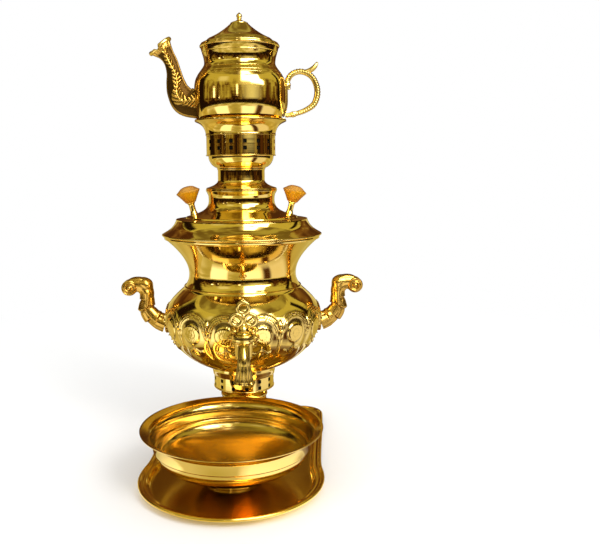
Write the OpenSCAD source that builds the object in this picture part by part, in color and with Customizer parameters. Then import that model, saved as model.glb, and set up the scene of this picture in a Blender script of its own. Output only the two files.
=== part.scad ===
// Brass charcoal samovar with its crown, teapot, tray and drip bowl.
// Z is up, the samovar's own axis is the Z axis, and the tap points to -Y.
// The tray's underside is at Z = 0. All sizes are in millimetres.

/* [Sheet and clearances] */
// Thickness of the spun brass walls
wall = 1.2; // [0.9:0.1:1.8]
// Gap between two pieces that lift apart
lift_gap = 0.4; // [0.3:0.05:0.8]
// Gap behind a casting that is set against a spun wall
seat_gap = 0.2; // [0.1:0.05:0.3]
// Radial clearance of the tap's taper plug
plug_gap = 0.05; // [0.02:0.01:0.09]

/* [Tray] */
// Thickness of the tray's sheet
tray_sheet = 1.2; // [1:0.1:2]
// Half the width of the part under the samovar
tray_half_w = 109.5; // [104:1:124]
// How far the tray reaches behind the samovar's axis
tray_back = 75; // [70:1:110]
// Radius of the two rear corners
tray_corner_r = 30; // [20:1:60]
// Half the width of the waist between the two parts
tray_waist = 105; // [98:0.5:112]
// Distance of the waist in front of the samovar's axis
tray_waist_out = 132; // [120:1:150]
// Radius of the round front part
tray_front_r = 108; // [104:0.5:118]
// Distance of the front part's centre in front of the samovar's axis
tray_reach = 170.5; // [160:0.5:190]
// Width of the raised rim
tray_rim_w = 16; // [12:0.5:18]
// Height of the raised rim
tray_rim_h = 10; // [8:0.5:14]
// How far the tray stands turned under the samovar, in degrees
tray_turn = -5.4; // [-8:0.2:8]

/* [Drip bowl] */
// Radius of the bowl at its lip
bowl_r = 106.5; // [98:0.5:110]
// Height of the bowl
bowl_h = 64.5; // [56:0.5:70]
// Radius of the upright band below the lip
bowl_band_r = 92; // [84:0.5:96]
// Height of the band's lower edge
bowl_band_z = 42; // [36:0.5:46]
// Radius of the foot ring
bowl_foot_r = 35; // [30:0.5:50]
// Distance of the bowl's centre in front of the samovar's axis
bowl_out = 160; // [158:0.5:172]

/* [Foot] */
// Height of the four cast feet
foot_h = 9; // [6:0.5:12]
// Largest radius of a foot
foot_r = 8; // [6:0.5:10]
// Width of the square plinth
plinth_w = 100; // [92:1:106]
// Thickness of each step of the plinth
plinth_t = 3; // [2:0.1:4]
// Radius of the pedestal where it meets the plinth
pedestal_r = 44; // [40:0.5:45]
// Height of the pedestal
pedestal_h = 39; // [32:0.5:48]
// Radius of the neck under the fire ring
neck_r = 30.5; // [29:0.5:34]

/* [Fire ring] */
// Radius of the pierced ring
ring_r = 41; // [38:0.5:44]
// Height of the pierced ring
ring_h = 18; // [17:0.5:24]
// Height of the hollow shoulder below the pierced ring
ring_shoulder_h = 9.5; // [7:0.5:12]
// Height of the plain collar above the pierced ring
ring_collar_h = 11.6; // [8:0.2:14]
// How far the collar stands out of the pierced ring
ring_collar_out = 2.6; // [1.5:0.1:3.5]
// Air holes round the pierced ring
ring_holes = 14; // [8:1:20]
// Where the first air hole stands, in degrees from the front
ring_first = 4.7; // [-12:0.1:12]
// Width of an air hole
hole_w = 4.2; // [3:0.1:5]
// Height of an air hole
hole_h = 4.2; // [3:0.1:5]
// Distance between the two rows of air holes
hole_pitch = 8.6; // [7.5:0.1:10]

/* [Water urn] */
// Radius of the belly
belly_r = 105; // [98:1:112]
// Height of the widest line above the urn's floor
belly_up = 71; // [64:1:76]
// Radius of the shoulder bead
shoulder_r = 78.5; // [75:0.5:84]
// Height of the soldered seam above the widest line
seam_up = 4; // [2:0.5:8]
// Height of the shoulder bead above the widest line
shoulder_up = 40; // [34:1:46]
// Radius of the waist
waist_r = 72.2; // [66:0.2:74]
// Height of the waist above the shoulder bead
waist_up = 18; // [14:1:24]
// Radius of the mouth's rim
rim_r = 104; // [98:1:108]
// Height of the rim above the waist
rim_up = 51; // [44:1:60]
// Height of the rim band
rim_band = 4.5; // [3:0.5:7]
// Width of the flat that the lid rests on
rim_land = 5; // [3:0.5:8]

/* [Fire tube] */
// Outer radius of the fire tube in the urn's floor
tube_r = 30; // [27:0.5:31]
// Outer radius of the fire tube at its top
tube_top_r = 25; // [24:0.5:26]
// Gap round the fire tube where it comes through the lid
tube_gap = 5; // [3:0.5:6]
// How far the fire tube stands above the lid
tube_out = 24; // [16:1:27]
// Thickness of the ash grate
grate_t = 3; // [2:0.5:5]

/* [Lid] */
// How far the lid's edge stands out of the urn's rim
lid_over = 3; // [1:0.5:6]
// Radius of the top of the lid's sloping edge
lid_step_r = 88; // [84:1:92]
// Height of the sloping edge
lid_step_h = 22; // [16:1:28]
// Radius of the raised disc
lid_disc_r = 75; // [72:1:80]
// Height of the raised disc above the sloping edge
lid_disc_h = 3; // [1.5:0.5:6]
// Radius of the lid's neck at its narrowest
lid_neck_r = 44; // [41:0.5:47]
// Radius of the lip that carries the crown
lid_lip_r = 47.4; // [45:0.2:50]
// Height of the neck above the raised disc
lid_neck_h = 36; // [30:1:44]
// Depth of the ring that centres the lid in the urn
lid_skirt = 5; // [4:0.5:7]
// Gap round the ring that centres the lid
skirt_gap = 1.5; // [1.2:0.1:2.5]
// Distance of the knobs from the axis
knob_out = 64; // [60:0.5:66]
// How far the knobs lean outwards, in degrees
knob_lean = 14; // [0:1:24]
// Radius of a knob
knob_r = 15.8; // [12:0.2:18]
// Height of a knob's cone
knob_h = 14.5; // [10:0.5:18]
// Height of a knob's domed top
knob_dome = 8; // [4:0.5:10]
// Radius of a knob's stem
stem_r = 3.4; // [2.5:0.1:4.5]
// Length of a knob's stem that shows
stem_h = 15.5; // [10:0.5:20]

/* [Crown] */
// Radius of the crown's neck
crown_neck_r = 31.2; // [30.5:0.1:33]
// Height of the skirt below the neck
crown_skirt_h = 12; // [8:0.5:16]
// Height of the neck
crown_neck_h = 15.5; // [10:0.5:22]
// Height of the cup above the neck
crown_cup_h = 17.5; // [14:0.5:24]
// Radius of the pierced drum
drum_r = 45.6; // [44:0.1:49]
// Height of the pierced drum
drum_h = 25; // [22:0.5:32]
// Smoke holes round the pierced drum
drum_holes = 16; // [8:1:22]
// Where the first smoke hole stands, in degrees from the front
drum_first = 6.5; // [-11:0.1:11]
// How far the seat's lip stands out past the teapot's belly
seat_over = 0.1; // [0:0.1:3]
// Height of the flared seat
seat_h = 21; // [18:0.5:26]

/* [Teapot] */
// Radius of the teapot's base
pot_base_r = 40; // [36:0.5:42]
// Radius of the teapot's belly
pot_r = 60.2; // [56:0.2:63]
// Height of the belly's widest line above the base
pot_belly_up = 43; // [40:1:50]
// Radius of the teapot's neck
pot_neck_r = 46.4; // [44:0.2:49]
// Height of the neck above the widest line
pot_neck_up = 47; // [42:1:54]
// How far the shoulder stands out past the neck
pot_shoulder_out = 8; // [6:0.5:10]
// Height of the neck above the shoulder
pot_shoulder_down = 13.5; // [10:0.5:18]
// Radius of the teapot's lip
pot_lip_r = 52; // [51:0.5:56]
// Height of the lip above the neck
pot_lip_up = 23; // [18:1:28]
// Radius of the lid's flange
pot_lid_r = 50.6; // [49:0.1:51]
// Radius of the lid's dome
pot_dome_r = 41; // [36:0.5:44]
// Height of the lid's dome
pot_dome_h = 22.2; // [18:0.2:30]
// Height of the finial
finial_h = 12; // [8:0.5:16]

/* [Tap] */
// Distance of the tap's barrel from the samovar's axis
tap_out = 150; // [146:1:158]
// Height of the tap's bore below the widest line of the belly
tap_drop = 8; // [4:1:12]
// Radius of the bore that the water runs through
tap_bore_r = 4.5; // [3.5:0.1:5]
// Radius of the shank
shank_r = 8; // [7:0.1:9]
// Radius of the barrel's top
barrel_r = 12; // [11:0.2:14]
// Height of the barrel
barrel_h = 30; // [26:1:36]
// Radius of the taper plug at its top
plug_r = 8; // [7:0.1:9]
// Half angle of the taper plug, in degrees
plug_taper = 3; // [1:0.5:4]
// How far the nozzle reaches in front of the barrel
nozzle_out = 20; // [16:1:26]
// How far the nozzle's mouth lies below the bore
nozzle_drop = 38; // [32:1:44]
// Radius of each lobe of the key
lobe_r = 8; // [7:0.2:9]
// Radius of the hole in each lobe
lobe_hole_r = 5; // [4:0.2:6]
// Distance between the centres of the lobes
lobe_pitch = 16.4; // [14:0.2:18]
// Thickness of the key
key_t = 3.6; // [3:0.2:5]
// Radius of the rosette that the tap is screwed against
rosette_r = 19; // [17:0.5:21]

/* [Side handles] */
// Reach of the scroll's centre beyond the belly
scroll_reach = 48; // [43:1:55]
// Height of the scroll's centre above the widest line of the belly
scroll_up = 39; // [34:1:44]
// Radius of the scroll
scroll_r = 10.5; // [9:0.5:12]
// Width of the scroll, front to back
scroll_w = 17; // [12:0.5:20]
// Thickness of the cast plate behind each side handle
plate_t = 3; // [2:0.2:4]

/* [Hidden] */
$fn = 96;
tiny = 0.01;
step = 9; // points along each curved stretch of a profile

// Heights of the stack, from the table up.
tray_top = tray_sheet;
plinth_z = tray_top + foot_h;
pedestal_z = plinth_z + 2 * plinth_t;
ring_z = pedestal_z + pedestal_h;
ring_low = ring_z + ring_shoulder_h;
ring_high = ring_low + ring_h;
collar_r = ring_r + ring_collar_out;
urn_z = ring_high + ring_collar_h;
belly_z = urn_z + belly_up;
shoulder_z = belly_z + shoulder_up;
waist_z = shoulder_z + waist_up;
rim_z = waist_z + rim_up;
mouth_r = rim_r - rim_land;
lid_r = rim_r + lid_over;
step_z = rim_z + lid_step_h;
disc_z = step_z + lid_disc_h;
lip_z = disc_z + lid_neck_h;
tube_top_z = lip_z + tube_out;
crown_neck_z = lip_z + crown_skirt_h;
cup_z = crown_neck_z + crown_neck_h;
drum_z = cup_z + crown_cup_h;
seat_z = drum_z + drum_h;
pot_z = seat_z + 2 * wall;
pot_belly_z = pot_z + pot_belly_up;
pot_neck_z = pot_belly_z + pot_neck_up;
pot_lip_z = pot_neck_z + pot_lip_up;
pot_dome_z = pot_lip_z + 7.5;
finial_z = pot_dome_z + pot_dome_h;
tap_z = belly_z - tap_drop;
seat_r = pot_r + seat_over;

// The spun shells are soldered together from these parts.
seam_z = belly_z + seam_up;
bead_z = shoulder_z + 2.2;
bowl_seam_z = bowl_band_z + 1.3;
lid_seam_r = lid_disc_r - 1.4;

// ---------------------------------------------------------------- helpers

function last(v) = v[len(v) - 1];
function flip(v) = [for (i = [len(v) - 1:-1:0]) v[i]];
function unit(v) = v / norm(v);

// A smooth stretch from a to b. ta and tb are the lengths of its two handles,
// as shares of the box between a and b: [0, 0.5] leaves straight up or down.
function bend(a, b, ta, tb, n = step) =
  let (d = b - a,
       p = a + [ta[0] * d[0], ta[1] * d[1]],
       q = b - [tb[0] * d[0], tb[1] * d[1]])
  [for (i = [0:n]) let (t = i / n, s = 1 - t)
    s * s * s * a + 3 * s * s * t * p + 3 * s * t * t * q + t * t * t * b];

// The outline moved sideways by t, to its left as it runs.
function beside(v, t) = [for (i = [0:len(v) - 1])
  let (a = unit(v[min(i + 1, len(v) - 1)] - v[min(i, len(v) - 2)]),
       b = unit(v[max(i, 1)] - v[max(i - 1, 0)]),
       na = [-a[1], a[0]], nb = [-b[1], b[0]],
       m = na + nb)
  v[i] + t * m / max(0.4, (1 + na * nb))];

// Distance of a point from a line of points.
function gap_to(p, a, b) = let (d = b - a, t = max(0, min(1, ((p - a) * d) / (d * d)))) norm(p - a - t * d);
function clear_of(p, v) = min([for (i = [0:len(v) - 2]) gap_to(p, v[i], v[i + 1])]);

// The inner side of a sheet: beside, less the points that a tight corner would fold over.
function inner_side(v, t) = [for (p = beside(v, t)) if (clear_of(p, v) > 0.9 * t) p];

// Outline without points that lie on each other.
function clean(v) = [for (i = [0:len(v) - 1]) if (i == 0 || norm(v[i] - v[i - 1]) > tiny) v[i]];

// A spun sheet: the outline is its outer side, from bottom to top, and the wall lies inside it.
module spun(outline, t = wall) {
  side = clean(outline);
  rotate_extrude() polygon(concat(side, flip(inner_side(side, t))));
}

// Everything within a spun outline, grown by t, for seating other pieces against it.
module within(outline, t = 0) {
  side = t == 0 ? clean(outline) : inner_side(clean(outline), -t);
  rotate_extrude($fn = 240) polygon(concat([[0, side[0][1]]], side, [[0, last(side)[1]]]));
}

// What lies between two heights.
module between(low, high) {
  intersection() {
    children();
    translate([0, 0, low]) cylinder(r = 2 * belly_r, h = high - low);
  }
}

module ring_of(n, first = 0) {
  for (i = [0:n - 1]) rotate(first + i * 360 / n) children();
}

// Two rows of square holes through a pierced drum of radius r, about the height z.
module air_holes(n, r, z, first) {
  for (row = [-0.5, 0.5])
    ring_of(n, first)
      translate([0, -r, z + row * hole_pitch])
        cube([hole_w, 6 * wall, hole_h], center = true);
}

// A smooth line through the points, in the XZ plane, n steps between each pair.
function through(v, n = 3) = concat([for (i = [0:len(v) - 2], k = [0:n - 1])
  let (a = v[max(i - 1, 0)], b = v[i], c = v[i + 1], d = v[min(i + 2, len(v) - 1)], t = k / n)
  0.5 * (2 * b + (c - a) * t + (2 * a - 5 * b + 4 * c - d) * t * t + (3 * b - a - 3 * c + d) * t * t * t)],
  [last(v)]);

// Direction of the line at point i, and the in-plane normal there.
function heading(v, i) = unit(v[min(i + 1, len(v) - 1)] - v[max(i - 1, 0)]);
function ring_at(p, h, high, wide, sides) = [for (k = [0:sides - 1])
  let (a = 360 * k / sides, s = high * cos(a))
  [p[0] - s * h[1], wide * sin(a), p[1] + s * h[0]]];

// A cast bar that follows a line in the XZ plane. Each row of v is [x, z, half height, half width].
// lead, where it is given, is the way that the bar's last end faces.
module cast_bar(v, sides = 12, n = 3, lead = undef) {
  rows = through(v, n);
  line = [for (r = rows) [r[0], r[1]]];
  m = len(rows);
  points = [for (i = [0:m - 1])
    each ring_at(line[i], i == m - 1 && lead != undef ? lead : heading(line, i), rows[i][2], rows[i][3], sides)];
  skin = [for (i = [0:m - 2], k = [0:sides - 1]) let (j = (k + 1) % sides)
    [i * sides + k, i * sides + j, (i + 1) * sides + j, (i + 1) * sides + k]];
  polyhedron(points, concat(skin,
    [[for (k = [sides - 1:-1:0]) k]],
    [[for (k = [0:sides - 1]) (m - 1) * sides + k]]));
}

// The same as a tube, with a wall of t, open at both ends.
module cast_tube(v, t, sides = 14, n = 3) {
  rows = through(v, n);
  line = [for (r = rows) [r[0], r[1]]];
  m = len(rows);
  all = m * sides;
  points = [for (q = [0, t], i = [0:m - 1])
    each ring_at(line[i], heading(line, i), rows[i][2] - q, rows[i][3] - q, sides)];
  skin = [for (i = [0:m - 2], k = [0:sides - 1]) let (j = (k + 1) % sides)
    [i * sides + k, i * sides + j, (i + 1) * sides + j, (i + 1) * sides + k]];
  ends = [for (k = [0:sides - 1]) let (j = (k + 1) % sides, e = (m - 1) * sides) each
    [[j, k, all + k, all + j], [e + k, e + j, all + e + j, all + e + k]]];
  polyhedron(points, concat(skin, [for (f = skin) [for (c = flip(f)) all + c]], ends));
}

// ---------------------------------------------------------------- tray and drip bowl

// Right-hand half of the tray's edge, from the back to the front: a straight back, a round
// corner, a side that draws in to the waist, and the round front part.
function arc_points(centre, r, from, to, n) = [for (i = [0:n]) let (a = from + (to - from) * i / n)
  centre + [r * cos(a), r * sin(a)]];
corner_at = [tray_half_w - tray_corner_r, tray_back - tray_corner_r];
half_edge = clean(concat(
  [[0, tray_back], [corner_at[0] * 0.5, tray_back]],
  arc_points(corner_at, tray_corner_r, 90, 0, 7),
  bend([tray_half_w, corner_at[1]], [tray_waist, -tray_waist_out], [0, 0.4], [0, 0.3], 8),
  bend([tray_waist, -tray_waist_out], [tray_front_r, -tray_reach], [0, 0.3], [0, 0.45], 4),
  arc_points([0, -tray_reach], tray_front_r, 0, -90, 19)));

// The rim's section, with x from the lip's outer edge: the floor's edge, a slope that climbs
// from it, a hollow groove, and a rolled lip.
floor_edge = -tray_rim_w - tray_sheet;
slope_x = -tray_rim_w * 0.56;
slope_z = tray_rim_h * 0.6;
lip_w = tray_rim_w * 0.25;
rim_under = clean(concat([[floor_edge, 0]],
  bend([-tray_rim_w, 0], [slope_x, slope_z], [0.5, 0], [0.3, 0.3], 3),
  bend([slope_x + 0.8, slope_z + 0.1], [-lip_w - 0.6, slope_z + 1.2], [0.5, 0], [0.3, 0.4], 2)));
rim_lip = [for (a = [-110:45:160]) [-lip_w / 2 + lip_w / 2 * cos(a), tray_rim_h - lip_w / 2 + lip_w / 2 * sin(a)]];
rim_section = concat(rim_under, rim_lip, flip(inner_side(rim_under, tray_sheet)));

// The whole edge, anticlockwise from the front, and the way outwards at each point of it.
edge = concat(flip(half_edge), [for (i = [1:len(half_edge) - 2]) [-half_edge[i][0], half_edge[i][1]]]);
function outwards(v, i) = let (n = len(v), d = unit(v[(i + 1) % n] - v[(i + n - 1) % n])) [d[1], -d[0]];

module tray() color("goldenrod") rotate([0, 0, tray_turn]) {
  m = len(rim_section);
  n = len(edge);
  points = [for (i = [0:n - 1], p = rim_section) let (o = outwards(edge, i))
    [edge[i][0] + p[0] * o[0], edge[i][1] + p[0] * o[1], p[1]]];
  skin = [for (i = [0:n - 1], j = [0:m - 2]) let (k = (i + 1) % n)
    [i * m + j, i * m + j + 1, k * m + j + 1, k * m + j]];
  polyhedron(points, concat(skin, [[for (i = [0:n - 1]) i * m]], [[for (i = [n - 1:-1:0]) i * m + m - 1]]));
}

// Outer side of the bowl: foot ring, full lower wall, moulded band, flared lip.
bowl_wall_line = concat(
  bend([bowl_foot_r - 1, 2.4], [bowl_band_r - 3.5, bowl_band_z - 3], [0.5, 0.34], [0, 0.4]),
  [[bowl_band_r - 3.5, bowl_band_z - 1.6], [bowl_band_r - 1, bowl_band_z - 0.6], [bowl_band_r, bowl_band_z + 0.6]],
  bend([bowl_band_r, bowl_band_z + 2], [bowl_r - 1.6, bowl_h - 1.2], [0, 0.8], [0.6, 0.2], 8),
  [[bowl_r, bowl_h - 0.8], [bowl_r, bowl_h]]);

module bowl_place() rotate([0, 0, tray_turn]) translate([0, -bowl_out, tray_top]) children();

module drip_bowl() color("gold")
  bowl_place() {
    between(0, bowl_seam_z) spun(concat([[tiny, 2.4]], bowl_wall_line), wall);
    // turned foot ring under the bowl
    difference() {
      cylinder(r = bowl_foot_r, h = 2.4 + tiny);
      translate([0, 0, -1]) cylinder(r = bowl_foot_r - 3, h = 5);
    }
  }

module bowl_lip() color("gold")
  bowl_place() between(bowl_seam_z, bowl_h + 1) spun(concat([[tiny, 2.4]], bowl_wall_line), wall);

// ---------------------------------------------------------------- foot and fire ring

foot_pitch = plinth_w / 2 - foot_r - 1;

module feet() color("darkgoldenrod")
  for (x = [-1, 1], y = [-1, 1]) translate([x * foot_pitch, y * foot_pitch, tray_top])
    rotate_extrude() polygon(concat([[0, 0], [foot_r * 0.55, 0]],
      bend([foot_r * 0.6, 0], [foot_r, foot_h * 0.45], [0.9, 0.1], [0, 0.6], 6),
      bend([foot_r, foot_h * 0.5], [foot_r * 0.55, foot_h * 0.85], [0, 0.5], [0.6, 0], 6),
      [[foot_r * 0.8, foot_h * 0.88], [foot_r * 0.8, foot_h], [0, foot_h]]));

module step_plate(w, cut, z) {
  translate([0, 0, z]) linear_extrude(plinth_t) difference() {
    square(w, center = true);
    for (x = [-1, 1], y = [-1, 1]) translate([x * w / 2, y * w / 2]) circle(r = cut, $fn = 48);
  }
}

module plinth() color("gold") difference() {
  union() {
    step_plate(plinth_w, 4, plinth_z);
    step_plate(plinth_w - 10, 5, plinth_z + plinth_t);
  }
  // open under the ash fall
  translate([0, 0, plinth_z - 1]) cylinder(r = neck_r - 4, h = 4 * plinth_t);
}

module pedestal() color("gold") spun(concat(
  [[neck_r - 3, pedestal_z], [pedestal_r, pedestal_z], [pedestal_r, pedestal_z + 2]],
  bend([pedestal_r - 1.5, pedestal_z + 3], [neck_r, ring_z - 6], [0.75, 0.15], [0.05, 0.5]),
  [[neck_r, ring_z - 3], [neck_r + 1.5, ring_z - 2.5], [neck_r + 1.5, ring_z], [neck_r - 3, ring_z]]));

fire_ring_line = concat(
  [[neck_r - 4, ring_z], [neck_r, ring_z]],
  bend([neck_r, ring_z + 1.5], [ring_r, ring_low], [0.1, 0.55], [0.7, 0.1], 6),
  [[ring_r + 0.8, ring_low + 0.6], [ring_r + 0.8, ring_low + 1.8], [ring_r, ring_low + 2.4],
   [ring_r, ring_high], [ring_r + 1.2, ring_high + 0.8]],
  bend([ring_r + 1.4, ring_high + 2], [collar_r, urn_z - 3], [0.2, 0.3], [0.2, 0.3], 4),
  [[collar_r, urn_z]]);

module fire_ring() color("gold") difference() {
  spun(fire_ring_line);
  air_holes(ring_holes, ring_r, (ring_low + ring_high) / 2 + 1, ring_first);
}

// ---------------------------------------------------------------- fire tube, grate and urn

grate_ledge = 2.5;
tube_low = urn_z - 7;

module fire_tube() color("peru") rotate_extrude() polygon([
  [tube_r - wall - grate_ledge, tube_low], [tube_r, tube_low], [tube_r, urn_z + 12],
  [tube_top_r, rim_z], [tube_top_r, tube_top_z],
  [tube_top_r - wall, tube_top_z], [tube_top_r - wall, rim_z - 1],
  [tube_r - wall, urn_z + 11], [tube_r - wall, tube_low + wall],
  [tube_r - wall - grate_ledge, tube_low + wall]]);

module ash_grate() color("dimgray") translate([0, 0, tube_low + wall]) difference() {
  cylinder(r = tube_r - wall - 0.5, h = grate_t);
  for (x = [-2:2]) translate([x * 9.5, 0, -1]) linear_extrude(grate_t + 2)
    square([4, 2 * sqrt(pow(tube_r - 6, 2) - pow(x * 9.5, 2)) - 4], center = true);
}

urn_line = concat(
  [[tube_r, urn_z], [collar_r + 1, urn_z]],
  bend([collar_r + 1.6, urn_z + 0.4], [belly_r, belly_z], [0.593, 0.183], [0, 0.451], 14),
  bend([belly_r, belly_z], [shoulder_r, shoulder_z], [0, 0.45], [0.547, 0.325], 12),
  [[shoulder_r + 0.6, shoulder_z + 0.3], [shoulder_r + 0.6, shoulder_z + 1.6], [shoulder_r - 1, shoulder_z + 2]],
  bend([shoulder_r - 1.2, shoulder_z + 2.4], [waist_r, waist_z], [0.66, 0.294], [0, 0.41], 6),
  bend([waist_r, waist_z], [rim_r - 2.2, rim_z - rim_band], [0, 0.333], [0.604, 0.333], 12),
  [[rim_r, rim_z - rim_band + 1], [rim_r, rim_z - 1], [rim_r - 0.6, rim_z]]);

// Lower shell, with the floor, up to the soldered seam.
module urn() color("gold") difference() {
  union() {
    between(urn_z - 1, seam_z) spun(urn_line);
    // pads that the rivets of the side handles are set on
    intersection() {
      for (side = [-1, 1]) translate([side * (pad_x + 1.2), 0, plate_z])
        rotate([0, 90, 0]) cylinder(r = plate_r - 5, h = 2.4, center = true);
      within(urn_line, -wall / 2);
    }
  }
  translate([0, 0, tap_z]) rotate([90, 0, 0]) cylinder(r = shank_r, h = tap_out);
}

// Upper shell, from the seam to the shoulder bead.
module urn_shoulder() color("gold") between(seam_z, bead_z) spun(urn_line);

// Waist and flared mouth, with a flat land and an upright inner wall.
module urn_mouth() color("gold") union() {
  between(bead_z, rim_z + 1) spun(urn_line);
  translate([0, 0, rim_z - rim_band]) difference() {
    cylinder(r = rim_r - 1, h = rim_band);
    translate([0, 0, -1]) cylinder(r = mouth_r, h = rim_band + 2);
  }
}

// ---------------------------------------------------------------- side handles

plate_z = belly_z - 11;
plate_r = 13;
plate_x = belly_r - 1.5;
scroll_out = belly_r + scroll_reach;
pad_x = belly_r - wall - 3.2;

// Line of the cast bar from the scroll down to the plate: [x, z, half height, half width].
handle_line = [
  [scroll_out - 1, belly_z + scroll_up + 1, 9.6, 8],
  [scroll_out - 8, belly_z + scroll_up + 4.6, 9, 8.4],
  [scroll_out - 17, belly_z + scroll_up + 3.6, 8.8, 8.4],
  [scroll_out - 23, belly_z + scroll_up - 5, 8.4, 8],
  [scroll_out - 23.5, belly_z + scroll_up - 15, 7.8, 7.6],
  [scroll_out - 22.6, belly_z + scroll_up - 25, 9.4, 8],
  [scroll_out - 24, belly_z + scroll_up - 33, 10.6, 7.8],
  [scroll_out - 30.5, belly_z + scroll_up - 41, 10.4, 7.6],
  [scroll_out - 38, belly_z + scroll_up - 46.5, 10.6, 8.4],
  [plate_x + plate_t + 3, plate_z + 1, 11.2, 9.4],
  [plate_x + plate_t, plate_z, 11.6, 10]
];

module handle_right() color("darkgoldenrod") union() {
  cast_bar(handle_line, lead = [-1, 0]);
  translate([scroll_out, 0, belly_z + scroll_up]) rotate([90, 0, 0]) {
    cylinder(r = scroll_r, h = scroll_w, center = true);
    cylinder(r = scroll_r * 0.62, h = scroll_w + 3, center = true);
    cylinder(r = scroll_r * 0.3, h = scroll_w + 5, center = true);
  }
}

module handle_left() mirror([1, 0, 0]) handle_right();

module handle_plates() color("darkgoldenrod") for (side = [0, 1]) mirror([side, 0, 0])
  difference() {
    translate([plate_x - 3, 0, plate_z]) rotate([0, 90, 0])
      cylinder(r1 = plate_r, r2 = plate_r - 0.5, h = plate_t + 3);
    within(urn_line, seat_gap);
  }

module handle_rivets() color("peru") for (side = [0, 1]) mirror([side, 0, 0])
  for (z = [-1, 1]) translate([pad_x - 1.5, 0, plate_z + z * 4])
    rotate([0, 90, 0]) cylinder(r = 2.4, h = 1.5, $fn = 24);

// ---------------------------------------------------------------- tap

nozzle_y = -(tap_out + nozzle_out);
barrel_low = tap_z - barrel_h * 0.5;
barrel_high = barrel_low + barrel_h;
rosette_y = -(belly_r + 2);
plug_low_r = plug_r - barrel_h * tan(plug_taper);

module tap_rosette() color("darkgoldenrod") difference() {
  translate([0, rosette_y + 6, tap_z]) rotate([90, 0, 0]) difference() {
    union() {
      cylinder(r = rosette_r - 3, h = 9);
      cylinder(r = shank_r + 4, h = 11.5);
      ring_of(10) translate([rosette_r - 3, 0, 1]) cylinder(r = 4, h = 6.5, $fn = 32);
    }
    translate([0, 0, -1]) cylinder(r = shank_r, h = 20);
  }
  within(urn_line, seat_gap);
}

gasket_y = -(belly_r - wall - 5);

module tap_gasket() color("black") intersection() {
  translate([0, gasket_y, tap_z]) rotate([90, 0, 0]) difference() {
    cylinder(r = shank_r + 5, h = 8);
    translate([0, 0, -1]) cylinder(r = shank_r, h = 10);
  }
  within(urn_line, -wall);
}

module tap_lock_nut() color("goldenrod") translate([0, gasket_y + 5, tap_z]) rotate([90, 0, 0])
  difference() {
    cylinder(r = shank_r + 5, h = 5, $fn = 6);
    translate([0, 0, -1]) cylinder(r = shank_r, h = 7);
  }

module tap_body() color("gold") difference() {
  union() {
    // threaded shank through the urn's wall
    translate([0, -(belly_r - wall - 14), tap_z]) rotate([90, 0, 0])
      cylinder(r = shank_r, h = tap_out - belly_r + wall + 14);
    translate([0, -tap_out + barrel_r + 4, tap_z]) rotate([90, 0, 0]) cylinder(r = shank_r + 2, h = 5);
    // barrel, turned with a heavy top ring
    translate([0, -tap_out, 0]) rotate_extrude() polygon([
      [0, barrel_low], [barrel_r - 3, barrel_low], [barrel_r - 2, barrel_low + 3],
      [barrel_r - 1.5, tap_z + 5], [barrel_r + 2, tap_z + 7], [barrel_r + 2, barrel_high - 3],
      [barrel_r, barrel_high], [0, barrel_high]]);
    // nozzle: forwards, then down
    rotate([0, 0, -90]) cast_bar([
      [tap_out, tap_z, 8, 7], [tap_out + nozzle_out * 0.55, tap_z - 1, 7.5, 7],
      [tap_out + nozzle_out * 0.95, tap_z - 10, 7, 7], [tap_out + nozzle_out, tap_z - 22, 7.5, 8.5],
      [tap_out + nozzle_out, tap_z - nozzle_drop, 9, 10.5]], 14);
  }
  // taper bore for the plug
  translate([0, -tap_out, barrel_low - tiny])
    cylinder(r1 = plug_low_r + plug_gap, r2 = plug_r + plug_gap, h = barrel_h + 2 * tiny);
  // water way
  translate([0, 0, tap_z]) rotate([90, 0, 0]) cylinder(r = tap_bore_r, h = -nozzle_y);
  translate([0, nozzle_y, tap_z]) sphere(r = tap_bore_r);
  translate([0, nozzle_y, tap_z - nozzle_drop - 2]) cylinder(r = tap_bore_r, h = nozzle_drop + 2);
}

plug_out = 3;

module tap_plug() color("goldenrod") translate([0, -tap_out, 0]) difference() {
  union() {
    translate([0, 0, barrel_low]) cylinder(r1 = plug_low_r, r2 = plug_r, h = barrel_h);
    // cap that covers the barrel's top, and the threaded tail below it
    translate([0, 0, barrel_high + lift_gap]) cylinder(r1 = plug_r + 2.4, r2 = plug_r - 2, h = plug_out);
    translate([0, 0, barrel_high - tiny]) cylinder(r = plug_r - 1, h = lift_gap + 2 * tiny);
    translate([0, 0, barrel_low - 6]) cylinder(r = 3, h = 7);
  }
  // the way through the plug, closed while it lies across the water way
  translate([0, 0, tap_z]) rotate([0, 90, 0]) cylinder(r = tap_bore_r - 0.3, h = 3 * plug_r, center = true);
}

key_z = barrel_high + lift_gap + plug_out;
trefoil_z = key_z + 5 + lobe_r;

module tap_key() color("gold") translate([0, -tap_out, 0]) union() {
  // boss that the key is screwed down by
  translate([0, 0, key_z]) cylinder(r1 = plug_r - 2, r2 = key_t / 2 + 1.4, h = 6);
  translate([0, key_t / 2, trefoil_z]) rotate([90, 0, 0]) linear_extrude(key_t) difference() {
    union() {
      for (side = [-1, 1]) translate([side * lobe_pitch / 2, 0]) circle(r = lobe_r);
      translate([0, lobe_pitch * sin(60)]) circle(r = lobe_r);
      translate([0, lobe_pitch * sin(60) + lobe_r]) circle(r = 1.8, $fn = 32);
      translate([-lobe_pitch / 4, -lobe_r - 1]) square([lobe_pitch / 2, lobe_pitch]);
    }
    for (side = [-1, 1]) translate([side * lobe_pitch / 2, 0]) circle(r = lobe_hole_r);
    translate([0, lobe_pitch * sin(60)]) circle(r = lobe_hole_r);
  }
}

module plug_washer() color("goldenrod") translate([0, -tap_out, barrel_low - 0.3 - 1])
  difference() {
    cylinder(r = 6, h = 1);
    translate([0, 0, -1]) cylinder(r = 3, h = 3);
  }

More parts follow.
